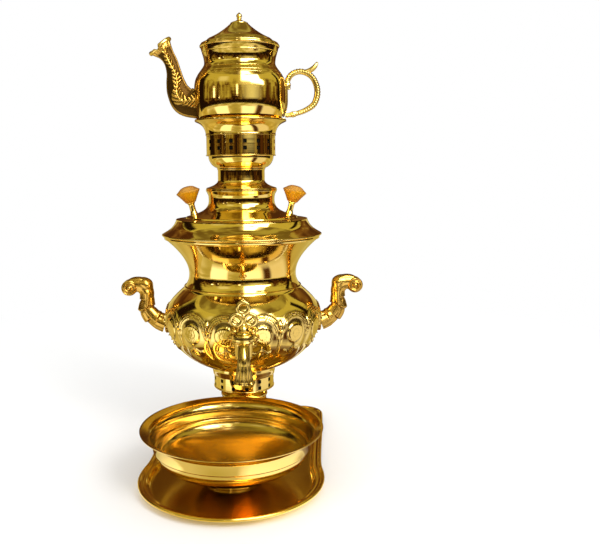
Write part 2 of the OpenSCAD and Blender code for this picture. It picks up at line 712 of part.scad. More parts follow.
module plug_nut() color("goldenrod") translate([0, -tap_out, barrel_low - 1.3 - 3.5])
  difference() {
    cylinder(r = 5.5, h = 3.5, $fn = 6);
    translate([0, 0, -1]) cylinder(r = 3, h = 6);
  }

// ---------------------------------------------------------------- lid and its knobs

lid_line = concat(
  [[mouth_r - 2, rim_z], [lid_r - 1, rim_z], [lid_r, rim_z + 1], [lid_r, rim_z + 2.2], [lid_r - 1.4, rim_z + 3]],
  bend([lid_r - 2, rim_z + 3.4], [lid_step_r, step_z - 1.5], [0.55, 0.3], [0.2, 0.5], 7),
  [[lid_step_r, step_z], [lid_disc_r + 1.5, step_z + 0.6], [lid_disc_r, step_z + 1.2], [lid_disc_r - 0.8, disc_z]],
  bend([lid_disc_r - 2, disc_z + 0.4], [lid_neck_r, disc_z + lid_neck_h * 0.6], [0.62, 0.22], [0, 0.6], 10),
  bend([lid_neck_r, disc_z + lid_neck_h * 0.65], [lid_lip_r, lip_z - 2], [0, 0.5], [0.5, 0.3], 5),
  [[lid_lip_r, lip_z], [tube_top_r + tube_gap, lip_z]]);

module neck_core() translate([0, 0, rim_z - 1]) cylinder(r = lid_seam_r, h = lip_z - rim_z + 2);

// Sloping edge and raised disc, with the ring that centres the lid in the mouth.
module lid() color("gold") union() {
  difference() {
    spun(lid_line);
    neck_core();
  }
  translate([0, 0, rim_z - lid_skirt]) difference() {
    cylinder(r = mouth_r - skirt_gap, h = lid_skirt + wall);
    translate([0, 0, -1]) cylinder(r = mouth_r - skirt_gap - wall, h = lid_skirt + wall + 2);
  }
}

// Hollow flare and neck, up to the lip that carries the crown.
module lid_neck() color("gold") difference() {
  intersection() {
    spun(lid_line);
    neck_core();
  }
  for (side = [0, 1]) mirror([side, 0, 0]) knob_place() cylinder(r = stem_r - 0.8, h = 20, center = true);
}

// The foot of each stem, on the flare of the lid's neck.
knob_z = disc_z + lid_neck_h * 0.1;

module knob_place() {
  translate([knob_out, 0, knob_z]) rotate([0, knob_lean, 0]) children();
}

module knob_stems() color("khaki") for (side = [0, 1]) mirror([side, 0, 0]) union() {
  difference() {
    knob_place() union() {
      translate([0, 0, -5]) cylinder(r1 = stem_r + 1.6, r2 = stem_r, h = 8);
      cylinder(r = stem_r, h = stem_h);
    }
    within(lid_line);
  }
  knob_place() translate([0, 0, -9]) cylinder(r = stem_r - 0.8, h = 9 + stem_h + 6);
}

module lid_knobs() color("darkorange") for (side = [0, 1]) mirror([side, 0, 0]) knob_place()
  translate([0, 0, stem_h]) difference() {
    rotate_extrude() polygon(concat(
      [[0, 0], [knob_r * 0.38, 0]],
      bend([knob_r * 0.42, 0.6], [knob_r * 0.94, knob_h * 0.9], [0.3, 0.35], [0.3, 0.25], 6),
      [[knob_r, knob_h], [knob_r * 0.97, knob_h + 1]],
      bend([knob_r * 0.92, knob_h + 1.4], [0, knob_h + knob_dome], [0.35, 0.6], [0.6, 0], 6)));
    translate([0, 0, -1]) cylinder(r = stem_r - 0.8, h = 7);
  }

module knob_nuts() color("goldenrod") for (side = [0, 1]) mirror([side, 0, 0]) difference() {
  intersection() {
    knob_place() translate([0, 0, -6]) cylinder(r = stem_r + 2, h = 8, $fn = 6);
    within(lid_line, -wall);
  }
  knob_place() cylinder(r = stem_r - 0.8, h = 30, center = true);
}

// ---------------------------------------------------------------- crown

crown_line = concat(
  [[lid_lip_r - 5, lip_z], [lid_lip_r - 0.4, lip_z], [lid_lip_r - 0.4, lip_z + 1.6]],
  bend([lid_lip_r - 2.4, lip_z + 2.4], [crown_neck_r, crown_neck_z], [0.65, 0.25], [0, 0.35], 6),
  [[crown_neck_r, cup_z - 2], [crown_neck_r + 1, cup_z - 1], [crown_neck_r + 1, cup_z]],
  bend([crown_neck_r + 1, cup_z + 0.6], [drum_r - 2.4, drum_z - 1.6], [0.55, 0.1], [0, 0.45], 7),
  [[drum_r + 0.8, drum_z - 1.2], [drum_r + 0.8, drum_z], [drum_r - 3, drum_z]]);

module crown_base() color("gold") between(lip_z - 1, cup_z - 0.5) spun(crown_line);
module crown_cup() color("gold") between(cup_z - 0.5, drum_z + 1) spun(crown_line);

module crown_drum() color("gold") difference() {
  translate([0, 0, drum_z]) difference() {
    cylinder(r = drum_r, h = drum_h);
    translate([0, 0, -1]) cylinder(r = drum_r - wall, h = drum_h + 2);
  }
  air_holes(drum_holes, drum_r, drum_z + drum_h * 0.5, drum_first);
}

seat_line = concat(
  [[pot_base_r - 4, seat_z], [drum_r + 0.8, seat_z], [drum_r + 0.8, seat_z + 1.6]],
  bend([drum_r + 0.6, seat_z + 2.4], [seat_r - 2, seat_z + seat_h - 3.6], [0.1, 0.5], [0.65, 0.2], 8),
  [[seat_r, seat_z + seat_h - 2.6], [seat_r, seat_z + seat_h - 0.8], [seat_r - 0.8, seat_z + seat_h]]);

module crown_seat() color("gold") union() {
  spun(seat_line);
  // raised ring that the teapot's base stands on
  translate([0, 0, seat_z + wall - tiny]) difference() {
    cylinder(r = pot_base_r, h = wall + tiny);
    translate([0, 0, -1]) cylinder(r = pot_base_r - 4, h = wall + 2);
  }
}

// ---------------------------------------------------------------- teapot

pot_shoulder = [pot_neck_r + pot_shoulder_out, pot_neck_z - pot_shoulder_down];
pot_line = concat(
  [[tiny, pot_z], [pot_base_r, pot_z]],
  bend([pot_base_r + 0.3, pot_z + 0.3], [pot_r, pot_belly_z], [0.3, 0.2], [0, 0.5], 12),
  bend([pot_r, pot_belly_z], pot_shoulder, [0, 0.6], [0.98, 0.26], 10),
  bend(pot_shoulder, [pot_neck_r, pot_neck_z], [0.39, 0.35], [0, 0.3], 7),
  bend([pot_neck_r, pot_neck_z], [pot_lip_r - 1.2, pot_lip_z - 3], [0, 0.4], [0.3, 0.35], 6),
  [[pot_lip_r, pot_lip_z - 2.4], [pot_lip_r, pot_lip_z - 0.8], [pot_lip_r - 0.8, pot_lip_z]]);

spout_x = pot_r - 6;
spout_z = pot_belly_z - 2;

// Line of the spout from the belly to its mouth: [x, z, half height, half width].
spout_line = [
  [spout_x - 7, spout_z - 4, 17.5, 10.5], [spout_x + 4, spout_z - 2, 18.6, 11],
  [spout_x + 18, spout_z + 2, 18.6, 10],
  [spout_x + 26, spout_z + 13, 15.4, 9.2],
  [spout_x + 29.5, spout_z + 25, 12.4, 8],
  [spout_x + 31.5, spout_z + 38, 9.6, 6.8],
  [spout_x + 35, spout_z + 51, 8.8, 6.4],
  [spout_x + 41, spout_z + 61.5, 10.2, 7.4],
  [spout_x + 48.5, spout_z + 71, 16, 10.5]
];
spout_wall = 2;

module teapot() color("gold") difference() {
  between(pot_z - 1, pot_neck_z) spun(pot_line);
  // strainer holes behind the spout
  for (row = [-1:1], col = [-1:1])
    translate([-pot_r - 4, col * 4.5, spout_z + row * 6]) rotate([0, 90, 0]) cylinder(r = 1.3, h = 14, $fn = 16);
}

module teapot_neck() color("gold") between(pot_neck_z, pot_lip_z + 1) spun(pot_line);

module teapot_spout() color("goldenrod") difference() {
  mirror([1, 0, 0]) cast_tube(spout_line, spout_wall);
  // seated against the belly
  within(pot_line, seat_gap);
}

handle_x = pot_r + 3.4;

handle_loop = [
  [handle_x - 0.4, pot_belly_z + 14, 3.2, 4], [handle_x - 1.6, pot_belly_z + 23, 3.4, 4],
  [handle_x + 3, pot_belly_z + 32, 3.4, 4.2], [handle_x + 12, pot_belly_z + 36.4, 3.4, 4.2],
  [handle_x + 22, pot_belly_z + 35.4, 3.4, 4.2], [handle_x + 31, pot_belly_z + 29.5, 3.4, 4.2],
  [handle_x + 36.5, pot_belly_z + 19, 3.6, 4.4], [handle_x + 37.5, pot_belly_z + 7, 3.8, 4.4],
  [handle_x + 33, pot_belly_z - 5, 3.6, 4.2], [handle_x + 22, pot_belly_z - 12.5, 3.2, 3.8],
  [handle_x + 9, pot_belly_z - 17, 2.8, 3.4], [handle_x - 1, pot_belly_z - 18.8, 2.6, 3.2],
  [handle_x - 6.4, pot_belly_z - 19.2, 2.6, 3.2]
];
thumb_line = [
  [handle_x + 22, pot_belly_z + 37, 2.4, 3], [handle_x + 31, pot_belly_z + 40, 2.8, 3.2],
  [handle_x + 37, pot_belly_z + 47, 1.6, 2.2]
];

strap_t = 2.2;

module teapot_handle() color("goldenrod") difference() {
  union() {
    cast_bar(handle_loop, 10);
    cast_bar(thumb_line, 10);
  }
  within(pot_line, strap_t);
}

module handle_strap() color("gold") difference() {
  intersection() {
    translate([pot_r * 0.5, -5.5, pot_belly_z - 21.5]) cube([handle_x, 11, 48]);
    within(pot_line, strap_t);
  }
  within(pot_line, seat_gap);
}

pot_flange_z = pot_lip_z + lift_gap;
lid_crest_r = 11.6;

module teapot_lid() color("gold") difference() {
  union() {
    spun(concat(
      [[pot_dome_r - 2, pot_lip_z], [pot_lid_r, pot_lip_z], [pot_lid_r, pot_flange_z + 1]],
      bend([pot_lid_r - 1.4, pot_flange_z + 1.8], [pot_dome_r, pot_dome_z], [0.6, 0.1], [0.4, 0.4], 5),
      bend([pot_dome_r, pot_dome_z], [lid_crest_r, finial_z - 2.6], [0.36, 0.24], [0.3, 0.42], 9),
      [[lid_crest_r, finial_z - 1.8]],
      bend([lid_crest_r - 0.6, finial_z - 1.6], [6, finial_z], [0.3, 0.5], [0.6, 0.1], 4),
      [[2, finial_z]]));
    // ring that centres the lid in the teapot's mouth
    translate([0, 0, pot_lip_z - 7]) difference() {
      cylinder(r = pot_neck_r - 2, h = 7 + wall);
      translate([0, 0, -1]) cylinder(r = pot_neck_r - 2 - wall, h = 9 + wall);
    }
    translate([0, 0, pot_lip_z]) difference() {
      cylinder(r = pot_neck_r - 1.5, h = wall);
      translate([0, 0, -1]) cylinder(r = pot_dome_r - 3, h = wall + 2);
    }
  }
}

module teapot_finial() color("gold") union() {
  translate([0, 0, finial_z]) rotate_extrude() polygon(concat(
    [[0, 0], [5.4, 0], [5.4, 0.8]],
    bend([4.8, 1.2], [2.6, finial_h * 0.3], [0.7, 0.2], [0, 0.5], 4),
    bend([2.7, finial_h * 0.34], [3.6, finial_h * 0.5], [0.2, 0.2], [0, 0.4], 3),
    bend([3.6, finial_h * 0.54], [0, finial_h], [0, 0.6], [0.35, 0.5], 7)));
  translate([0, 0, finial_z - 6]) cylinder(r = 2, h = 6 + tiny);
}

module finial_nut() color("goldenrod") translate([0, 0, finial_z - wall - 2.6]) difference() {
  cylinder(r = 4, h = 2.4, $fn = 6);
  translate([0, 0, -1]) cylinder(r = 2, h = 5);
}

// ---------------------------------------------------------------- nodes

tray();
drip_bowl();
bowl_lip();
feet();
plinth();
pedestal();
fire_ring();
fire_tube();
ash_grate();
urn();
urn_shoulder();
urn_mouth();
handle_left();
handle_right();
handle_plates();
handle_rivets();
tap_rosette();
tap_gasket();
tap_body();
tap_lock_nut();
tap_plug();
tap_key();
plug_washer();
plug_nut();
lid();
lid_neck();
knob_stems();
lid_knobs();
knob_nuts();
crown_base();
crown_cup();
crown_drum();
crown_seat();
teapot();
teapot_neck();
teapot_spout();
teapot_handle();
handle_strap();
teapot_lid();
teapot_finial();
finial_nut();
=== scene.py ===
"""Brass charcoal samovar with its crown, teapot, tray and drip bowl.

Z is up, the samovar's own axis is the Z axis and the tap points to -Y. The pieces are drawn in
millimetres and their meshes made in metres. Lamps and studio cards are placed in metres.
"""

import math

import bmesh
import bpy
import numpy as np
from mathutils import Matrix, Vector


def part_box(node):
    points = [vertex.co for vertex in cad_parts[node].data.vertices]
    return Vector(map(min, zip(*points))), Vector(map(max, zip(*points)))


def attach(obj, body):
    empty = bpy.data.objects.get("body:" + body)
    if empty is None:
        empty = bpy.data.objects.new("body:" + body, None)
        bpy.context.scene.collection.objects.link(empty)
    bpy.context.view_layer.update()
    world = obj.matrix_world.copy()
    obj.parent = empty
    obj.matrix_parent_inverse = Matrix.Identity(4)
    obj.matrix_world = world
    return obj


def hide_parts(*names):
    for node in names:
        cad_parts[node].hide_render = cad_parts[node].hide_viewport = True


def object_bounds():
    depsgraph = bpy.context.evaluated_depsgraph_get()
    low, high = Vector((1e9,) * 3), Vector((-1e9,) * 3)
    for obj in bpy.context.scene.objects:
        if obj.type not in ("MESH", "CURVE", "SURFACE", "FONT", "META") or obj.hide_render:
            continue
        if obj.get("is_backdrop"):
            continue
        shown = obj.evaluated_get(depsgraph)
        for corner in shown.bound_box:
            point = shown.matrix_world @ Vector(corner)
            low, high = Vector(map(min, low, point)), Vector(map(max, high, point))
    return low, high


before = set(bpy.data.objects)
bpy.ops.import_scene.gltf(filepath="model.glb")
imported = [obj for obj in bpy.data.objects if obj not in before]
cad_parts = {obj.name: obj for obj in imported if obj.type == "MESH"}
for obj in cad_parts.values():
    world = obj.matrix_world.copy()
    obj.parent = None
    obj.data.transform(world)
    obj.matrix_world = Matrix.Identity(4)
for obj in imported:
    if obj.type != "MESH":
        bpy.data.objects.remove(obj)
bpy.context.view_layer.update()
scene = bpy.context.scene
mm = 0.001

# ---------------------------------------------------------------- camera
# A short tele lens a little above the bowl, looking slightly down, with the set left of the middle.

CAMERA_HEIGHT = 360 * mm
CAMERA_BACK = 950 * mm
LOOK_DOWN = math.radians(8.22)
LOOK_RIGHT = math.radians(2.325)
CAMERA_ROLL = math.radians(0.46)
LENS = 42.3
PICTURE_WIDTH = 600
AXIS_COLUMN = 271  # picture column that the lens axis falls on

camera_data = bpy.data.cameras.new("camera")
camera_data.lens = LENS
camera_data.sensor_width = 36
camera_data.shift_x = (PICTURE_WIDTH / 2 - AXIS_COLUMN) / PICTURE_WIDTH
camera = bpy.data.objects.new("camera", camera_data)
scene.collection.objects.link(camera)
ahead = Vector((
    math.sin(LOOK_RIGHT) * math.cos(LOOK_DOWN),
    math.cos(LOOK_RIGHT) * math.cos(LOOK_DOWN),
    -math.sin(LOOK_DOWN),
))
sideways = Vector((math.cos(LOOK_RIGHT), -math.sin(LOOK_RIGHT), 0))
upwards = sideways.cross(ahead)
rolled_side = math.cos(CAMERA_ROLL) * sideways - math.sin(CAMERA_ROLL) * upwards
rolled_up = math.sin(CAMERA_ROLL) * sideways + math.cos(CAMERA_ROLL) * upwards
pose = Matrix((rolled_side, rolled_up, -ahead)).transposed().to_4x4()
pose.translation = Vector((0, -CAMERA_BACK, CAMERA_HEIGHT))
camera.matrix_world = pose
scene.camera = camera
scene.view_settings.view_transform = "Standard"

# ---------------------------------------------------------------- studio
# A white sweep, three soft boxes, and a room of painted cards round the set that only the polish
# sees: windows, a pale table and dark walls, whose edges make polished metal readable.


class Wire:
    """A shader socket that sums and products can be written with."""

    def __init__(self, kit, socket):
        self.kit = kit
        self.socket = socket

    def _maths(self, operation, first, second):
        return self.kit.node("Math", {"operation": operation}, [first, second])

    def __add__(self, other):
        return self._maths("ADD", self, other)

    __radd__ = __add__

    def __sub__(self, other):
        return self._maths("SUBTRACT", self, other)

    def __rsub__(self, other):
        return self._maths("SUBTRACT", other, self)

    def __mul__(self, other):
        return self._maths("MULTIPLY", self, other)

    __rmul__ = __mul__


class Kit:
    """Adds nodes to the node tree of a material or a world."""

    def __init__(self, owner):
        owner.use_nodes = True
        self.tree = owner.node_tree
        self.tree.nodes.clear()

    def node(self, kind, settings=None, sockets=None, out=0):
        made = self.tree.nodes.new("ShaderNode" + kind)
        for key, value in (settings or {}).items():
            if key == "stops":
                ramp = made.color_ramp
                while len(ramp.elements) < len(value):
                    ramp.elements.new(0.5)
                for element, (place, colour) in zip(ramp.elements, value):
                    element.position = place
                    element.color = (*colour, 1)
            else:
                setattr(made, key, value)
        pairs = enumerate(sockets) if isinstance(sockets, list) else (sockets or {}).items()
        for key, value in pairs:
            if isinstance(value, Wire):
                self.tree.links.new(value.socket, made.inputs[key])
            elif value is not None:
                made.inputs[key].default_value = value
        return Wire(self, made.outputs[out]) if len(made.outputs) else None

    def mix(self, factor, first, second):
        """Colour between first and second."""
        return self.node("Mix", {"data_type": "RGBA"}, {"Factor": factor, 6: first, 7: second}, out=2)

    def place(self):
        """The place on the piece, in metres from its origin."""
        return self.node("TexCoord", out=3)

    def height(self, place):
        return self.node("SeparateXYZ", None, [place], out=2)

    def finish(self, shader, target="OutputMaterial"):
        self.node(target, None, {"Surface": shader})


def new_kit(name):
    """A new material and its kit."""
    paint = bpy.data.materials.new(name)
    return paint, Kit(paint)


def new_object(name, points, faces, unit=mm):
    """An object with a plain mesh, from points in the given unit."""
    mesh = bpy.data.meshes.new(name)
    mesh.from_pydata((np.asarray(points, float) * unit).tolist(), [], faces)
    made = bpy.data.objects.new(name, mesh)
    scene.collection.objects.link(made)
    return made


def seen_directly(kit):
    """1 for rays that show the background itself or its image in metal or glass."""
    outs = kit.node("LightPath").socket.node.outputs
    camera_ray, glossy, through = (
        Wire(kit, outs[n]) for n in ("Is Camera Ray", "Is Glossy Ray", "Is Transmission Ray"))
    return kit.node("Math", {"operation": "ADD", "use_clamp": True}, [camera_ray + glossy, through])


WHITE = (1, 1, 1, 1)
AMBIENT = (0.86, 0.86, 0.86, 1)

world = bpy.data.worlds.new("white sweep")
scene.world = world
kit = Kit(world)
kit.finish(kit.node("Background", None, {"Color": kit.mix(seen_directly(kit), AMBIENT, WHITE)}), "OutputWorld")

FLOOR_COLOUR = (0.93, 0.93, 0.92, 1)
FLOOR_NEAR = 0.35  # radius at which the floor starts to fade into the white sweep
FLOOR_FAR = 1.0
FLOOR_HALF = 4.0
FLOOR_DROP = 0.2 * mm

floor = new_object("floor", [(-FLOOR_HALF, -FLOOR_HALF, 0), (FLOOR_HALF, -FLOOR_HALF, 0),
                             (FLOOR_HALF, FLOOR_HALF, 0), (-FLOOR_HALF, FLOOR_HALF, 0)], [(0, 1, 2, 3)], 1)
floor.location.z = -FLOOR_DROP
material, kit = new_kit("floor")
distance = kit.node("VectorMath", {"operation": "LENGTH"}, [kit.place()], out=1)
fade = kit.node("MapRange", {"interpolation_type": "SMOOTHSTEP"}, [distance, FLOOR_NEAR, FLOOR_FAR, 0.0, 1.0])
paper = kit.node("BsdfDiffuse", None, {"Color": FLOOR_COLOUR})
white = kit.node("Emission", None, {"Color": WHITE})
kit.finish(kit.node("MixShader", None, [fade * seen_directly(kit), paper, white]))
floor.data.materials.append(material)
floor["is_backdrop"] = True

MIDDLE = (0, -0.03, 0.28)


def soft_box(name, place, width, height, power):
    """A lamp that faces the middle of the set."""
    data = bpy.data.lights.new(name, "AREA")
    data.shape = "RECTANGLE"
    data.size = width
    data.size_y = height
    data.energy = power
    lamp = bpy.data.objects.new(name, data)
    scene.collection.objects.link(lamp)
    lamp.location = place
    lamp.rotation_euler = (Vector(MIDDLE) - Vector(place)).to_track_quat("-Z", "Y").to_euler()
    return lamp


soft_box("key", (0.95, -1.25, 1.30), 0.7, 0.9, 15)
soft_box("fill", (-1.3, -0.9, 0.8), 0.5, 0.9, 4).visible_glossy = False
soft_box("back", (0.4, 1.3, 1.1), 1.0, 0.5, 6).visible_glossy = False

ROOM_R = 1.9
ROOM_TOP = 2.3
OLIVE = (0.60, 0.55, 0.15)
PALE = (0.98, 0.93, 0.72)
BROWN = (0.085, 0.030, 0.008)
DARK = (0.014, 0.006, 0.003)


def room_paint(name, stops, scale):
    """Soft streaks of light and shade, drawn out along the height."""
    paint, room = new_kit(name)
    place = room.node("Mapping", None, {"Vector": room.place(), "Scale": scale})
    cloud = room.node("TexNoise", None, {"Vector": place, "Scale": 1.0, "Detail": 2.0, "Roughness": 0.55})
    room.finish(room.node("Emission", None, {"Color": room.node("ValToRGB", {"stops": stops}, [cloud])}))
    return paint


def wall_paint(name, low, high, stops, scale):
    """Dark things along the foot of a wall, with an uneven edge against the light above."""
    paint, room = new_kit(name)
    streaks = room.node("Mapping", None, {"Vector": room.place(), "Scale": scale})
    cloud = room.node("TexNoise", None, {"Vector": streaks, "Scale": 1.0, "Detail": 4.0, "Roughness": 0.6})
    rise = room.node("MapRange", None, [room.height(room.place()), low, high, 0.0, 0.5])
    ramp = room.node("ValToRGB", {"stops": stops}, [rise + cloud - 0.22])
    room.finish(room.node("Emission", None, {"Color": ramp}))
    return paint


def plain_paint(name, colour, strength=1.0):
    """Plain light, which fades out where the card's glow does."""
    paint, room = new_kit(name)
    light = room.node("Emission", None, {"Color": (*colour, 1), "Strength": strength})
    glow = room.node("Attribute", {"attribute_name": "glow"}, out=2)
    room.finish(room.node("MixShader", None, [glow, room.node("BsdfTransparent"), light]))
    return paint


def faded(count, edge):
    """1 along a side of count points, falling smoothly to 0 over the share edge at both ends."""
    t = np.linspace(0, 1, count)
    x = np.clip(np.minimum(t, 1 - t) / edge, 0, 1) if edge else np.ones(count)
    return x * x * (3 - 2 * x)


def grid_card(name, points, n, m, paint, soft):
    """A card of n by m points that only reflections see, with its edges faded by the shares soft."""
    faces = [(i * m + j, (i + 1) * m + j, (i + 1) * m + j + 1, i * m + j + 1)
             for i in range(n - 1) for j in range(m - 1)]
    made = new_object(name, points, faces, 1)
    made.data.materials.append(paint)
    made.visible_camera = made.visible_diffuse = made.visible_shadow = False
    made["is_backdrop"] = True
    layer = made.data.attributes.new("glow", "FLOAT", "POINT")
    glow = np.outer(faded(n, soft[0]), faded(m, soft[1])).reshape(-1)
    layer.data.foreach_set("value", glow.astype(np.float32))


def wall_card(name, first, last, low, high, paint, inset=0.0, soft=(0, 0), far_end=None):
    """A curved card inset from the wall, between two bearings in degrees from the camera's side, to the
    right. far_end gives its lower and upper edge at the last bearing, where they differ."""
    n, m = max(13, int((last - first) / 4)), 13 if soft[1] else 2
    far_low, far_high = far_end or (low, high)
    radius = ROOM_R - inset
    points = []
    for i, bearing in enumerate(np.radians(np.linspace(first, last, n))):
        x, y, t = radius * math.sin(bearing), -radius * math.cos(bearing), i / (n - 1)
        points += [(x, y, z) for z in np.linspace(low + (far_low - low) * t, high + (far_high - high) * t, m)]
    grid_card(name, points, n, m, paint, soft)


def level_card(name, inner, outer, z, paint, first=-180, last=180, soft=(0, 0)):
    """A flat ring or a part of one at height z."""
    n, m = max(13, int((last - first) / 5)), 13 if soft[1] else 2
    points = [(radius * math.sin(bearing), -radius * math.cos(bearing), z)
              for bearing in np.radians(np.linspace(first, last, n)) for radius in np.linspace(inner, outer, m)]
    grid_card(name, points, n, m, paint, soft)


front_wall = wall_paint("front wall", 0.10, 1.5, [
    (0.0, DARK), (0.33, DARK), (0.41, BROWN), (0.49, (0.22, 0.15, 0.03)), (0.57, (0.42, 0.36, 0.09)),
    (0.70, OLIVE), (0.90, OLIVE)], (3.2, 3.2, 4.2))
room_ceiling = room_paint("room ceiling", [
    (0.0, (0.08, 0.04, 0.01)), (0.44, (0.20, 0.15, 0.035)), (0.60, (0.46, 0.42, 0.12))], (1.1, 1.1, 1.1))
table_near = room_paint("table near", [
    (0.0, DARK), (0.40, BROWN), (0.56, (0.20, 0.09, 0.02)), (0.72, OLIVE)], (6.0, 9.0, 1.0))
table_left = room_paint("table left", [
    (0.0, (0.20, 0.15, 0.04)), (0.46, (0.56, 0.50, 0.18)), (0.66, PALE)], (2.0, 2.0, 1.0))
behind = room_paint("room behind", [
    (0.0, (0.34, 0.26, 0.06)), (0.5, (0.60, 0.50, 0.15)), (0.7, (0.84, 0.74, 0.32))], (2.0, 2.0, 0.6))
rear_high = room_paint("room rear high", [
    (0.0, DARK), (0.45, BROWN), (0.60, (0.22, 0.11, 0.025)), (0.72, (0.44, 0.36, 0.09))], (1.6, 1.6, 1.6))
window = plain_paint("window", (1.0, 0.98, 0.95), 8.0)
halo = plain_paint("window halo", (1.0, 0.94, 0.70), 1.3)
table_light = plain_paint("table light", (0.98, 0.98, 1.0), 1.7)
cream = plain_paint("cream cloth", (0.98, 0.94, 0.86))
soft_light = plain_paint("soft light", (0.92, 0.92, 0.66), 0.95)
small_light = plain_paint("small light", (1.0, 0.96, 0.85), 4.0)
brown_card = plain_paint("brown card", BROWN)
dark_card = plain_paint("dark card", DARK)

wall_card("room_front", -125, 125, 0, ROOM_TOP, front_wall)
wall_card("room_rear_right", 125, 163, 0, 0.5, behind)
wall_card("room_rear_middle", 163, 197, 0, 0.5, rear_high)
wall_card("room_rear_left", 197, 235, 0, 0.5, behind)
wall_card("room_rear_high", 125, 235, 0.5, ROOM_TOP, rear_high)
level_card("ceiling", 0, ROOM_R, ROOM_TOP, room_ceiling)
level_card("table_near", 0, 0.20, -0.15 * mm, table_near)
level_card("table_around", 0.14, ROOM_R, -0.18 * mm, table_left, -100, 80)
level_card("table_light", 0.18, 1.1, -0.1 * mm, table_light, 0, 42, (0.15, 0.12))
level_card("table_strip", 0.22, 1.0, -0.1 * mm, table_light, 46, 60, (0.3, 0.2))
level_card("table_right", 0.16, 1.5, -0.12 * mm, cream, 24, 108, (0.12, 0.04))
level_card("table_brown", 0.19, 1.5, -0.09 * mm, brown_card, 40, 64, (0.3, 0.03))
level_card("table_left_pane", 0.21, 1.3, -0.11 * mm, table_light, -72, -30, (0.10, 0.04))
level_card("table_behind", 0.22, ROOM_R, -0.18 * mm, behind, 80, 260)
wall_card("window_halo", -6, 56, 0.74, 2.6, halo, 0.05, (0.25, 0.15))
wall_card("window_pane", 1, 62, 0.98, 2.6, window, 0.07, (0.08, 0.14), (0.80, 0.98))
level_card("window_light_halo", 0.7, 1.9, ROOM_TOP - 0.02, halo, -10, 52, (0.3, 0.2))
level_card("window_light", 0.8, 1.9, ROOM_TOP - 0.03, window, 2, 36, (0.15, 0.15))
wall_card("soft_right", -4, 60, 0.36, 1.0, soft_light, 0.06, (0.5, 0.3))
wall_card("small_middle", -10, -4, 0.62, 0.86, small_light, 0.06, (0.35, 0.3))
wall_card("small_left", -70, -62, 0.56, 0.74, small_light, 0.06, (0.4, 0.35))
wall_card("small_far_left", -54, -50, 0.50, 0.60, small_light, 0.06, (0.4, 0.35))
wall_card("pale_left", -62, -24, 0.9, 1.8, soft_light, 0.06, (0.35, 0.3))
wall_card("shade_left", -126, -94, 0, 1.9, dark_card, 0.09, (0.25, 0))
wall_card("shade_right", 62, 82, 0.1, 1.4, brown_card, 0.09, (0.5, 0.3))
wall_card("shade_far_right", 104, 116, 0, 1.9, dark_card, 0.09, (0.25, 0))
wall_card("shade_low", -60, 60, -0.05, 0.42, dark_card, 0.10, (0.1, 0.4))

# ---------------------------------------------------------------- brass
# Yellow brass, polished and lacquered. Spun sheet keeps faint turning lines and slow waves,
# castings keep a fine sand grain, and both stay brown where the buff doesn't reach. The same
# brown is painted shade inside the bowl, on the tray's well, on the tap nozzle's flanks and
# round the edges of the key's rings.

BRASS = (0.92, 0.675, 0.215, 1)
DEEP_BRASS = (0.84, 0.53, 0.095, 1)
PATINA_AND_SHADE_BROWN = (0.045, 0.018, 0.003, 1)
TURNING = 900.0  # turning lines to the metre


def brass(name, rough, spin=0.0, grain=0.0, wave=0.0, centre=(0, 0), brown=0.85, pale=BRASS, deep=DEEP_BRASS):
    """Brass finish. spin, grain and wave are the depths of its bumps, and centre is the axis of its
    turning lines, all in millimetres."""
    paint, mat = new_kit(name)
    place = mat.node("Mapping", {"vector_type": "TEXTURE"}, {
        "Vector": mat.place(), "Location": (centre[0] * mm, centre[1] * mm, 0)})
    flat = mat.node("VectorMath", {"operation": "MULTIPLY"}, [place, (1, 1, 0)])
    radius = mat.node("VectorMath", {"operation": "LENGTH"}, [flat], out=1)
    recess = mat.node("Attribute", {"attribute_name": "recess"}, out=2)
    cloud = mat.node("TexNoise", None, {"Vector": place, "Scale": 14.0, "Detail": 3.0})
    smudge = mat.node("TexNoise", None, {"Vector": place, "Scale": 55.0, "Detail": 4.0, "Roughness": 0.6})
    colour = mat.mix(mat.node("MapRange", None, [cloud, 0.35, 0.70, 0.0, 0.55]), pale, deep)
    # Mixes in the dark brown by the vertex share: patina in hollows, and painted shade on the pieces darkened
    # for it.
    colour = mat.mix(recess * brown, colour, PATINA_AND_SHADE_BROWN)
    dull = mat.node("MapRange", None, [smudge, 0.45, 0.75, 0.0, 0.05])
    normal = None

    def bumped(texture, depth):
        return mat.node("Bump", None, {"Height": texture, "Distance": depth * mm, "Normal": normal})

    if wave:
        normal = bumped(mat.node("TexNoise", None, {"Vector": place, "Scale": 16.0, "Detail": 1.0}), wave)
    if spin:
        along = (radius + mat.height(place)) * TURNING
        for pitch, detail, depth in ((1.0, 2.0, spin), (0.2, 1.0, spin * 3)):
            lines = mat.node("TexNoise", {"noise_dimensions": "1D"}, {
                "W": along * pitch, "Scale": 1.0, "Detail": detail})
            normal = bumped(lines, depth)
    if grain:
        normal = bumped(mat.node("TexNoise", None, {"Vector": place, "Scale": 900.0, "Detail": 3.0}), grain)
    mat.finish(mat.node("BsdfPrincipled", None, {
        "Base Color": colour, "Metallic": 1.0, "Roughness": dull + rough + recess * 0.25, "Normal": normal,
        "Coat Weight": (1 - recess) * 0.12, "Coat Roughness": 0.05}))
    return paint


def hollow(height, reach, depth):
    """Share of old brown in the hollows of a relief: a grid of heights in millimetres, whose columns
    run round the piece, is set against its mean over reach rows and columns."""
    along, around = reach
    last = len(height) - 1
    low = sum(height[np.clip(np.arange(last + 1) + k, 0, last)] for k in range(-along, along + 1))
    low = sum(np.roll(low / (2 * along + 1), k, 1) for k in range(-around, around + 1))
    return np.clip((low / (2 * around + 1) - height) / depth, 0, 1)


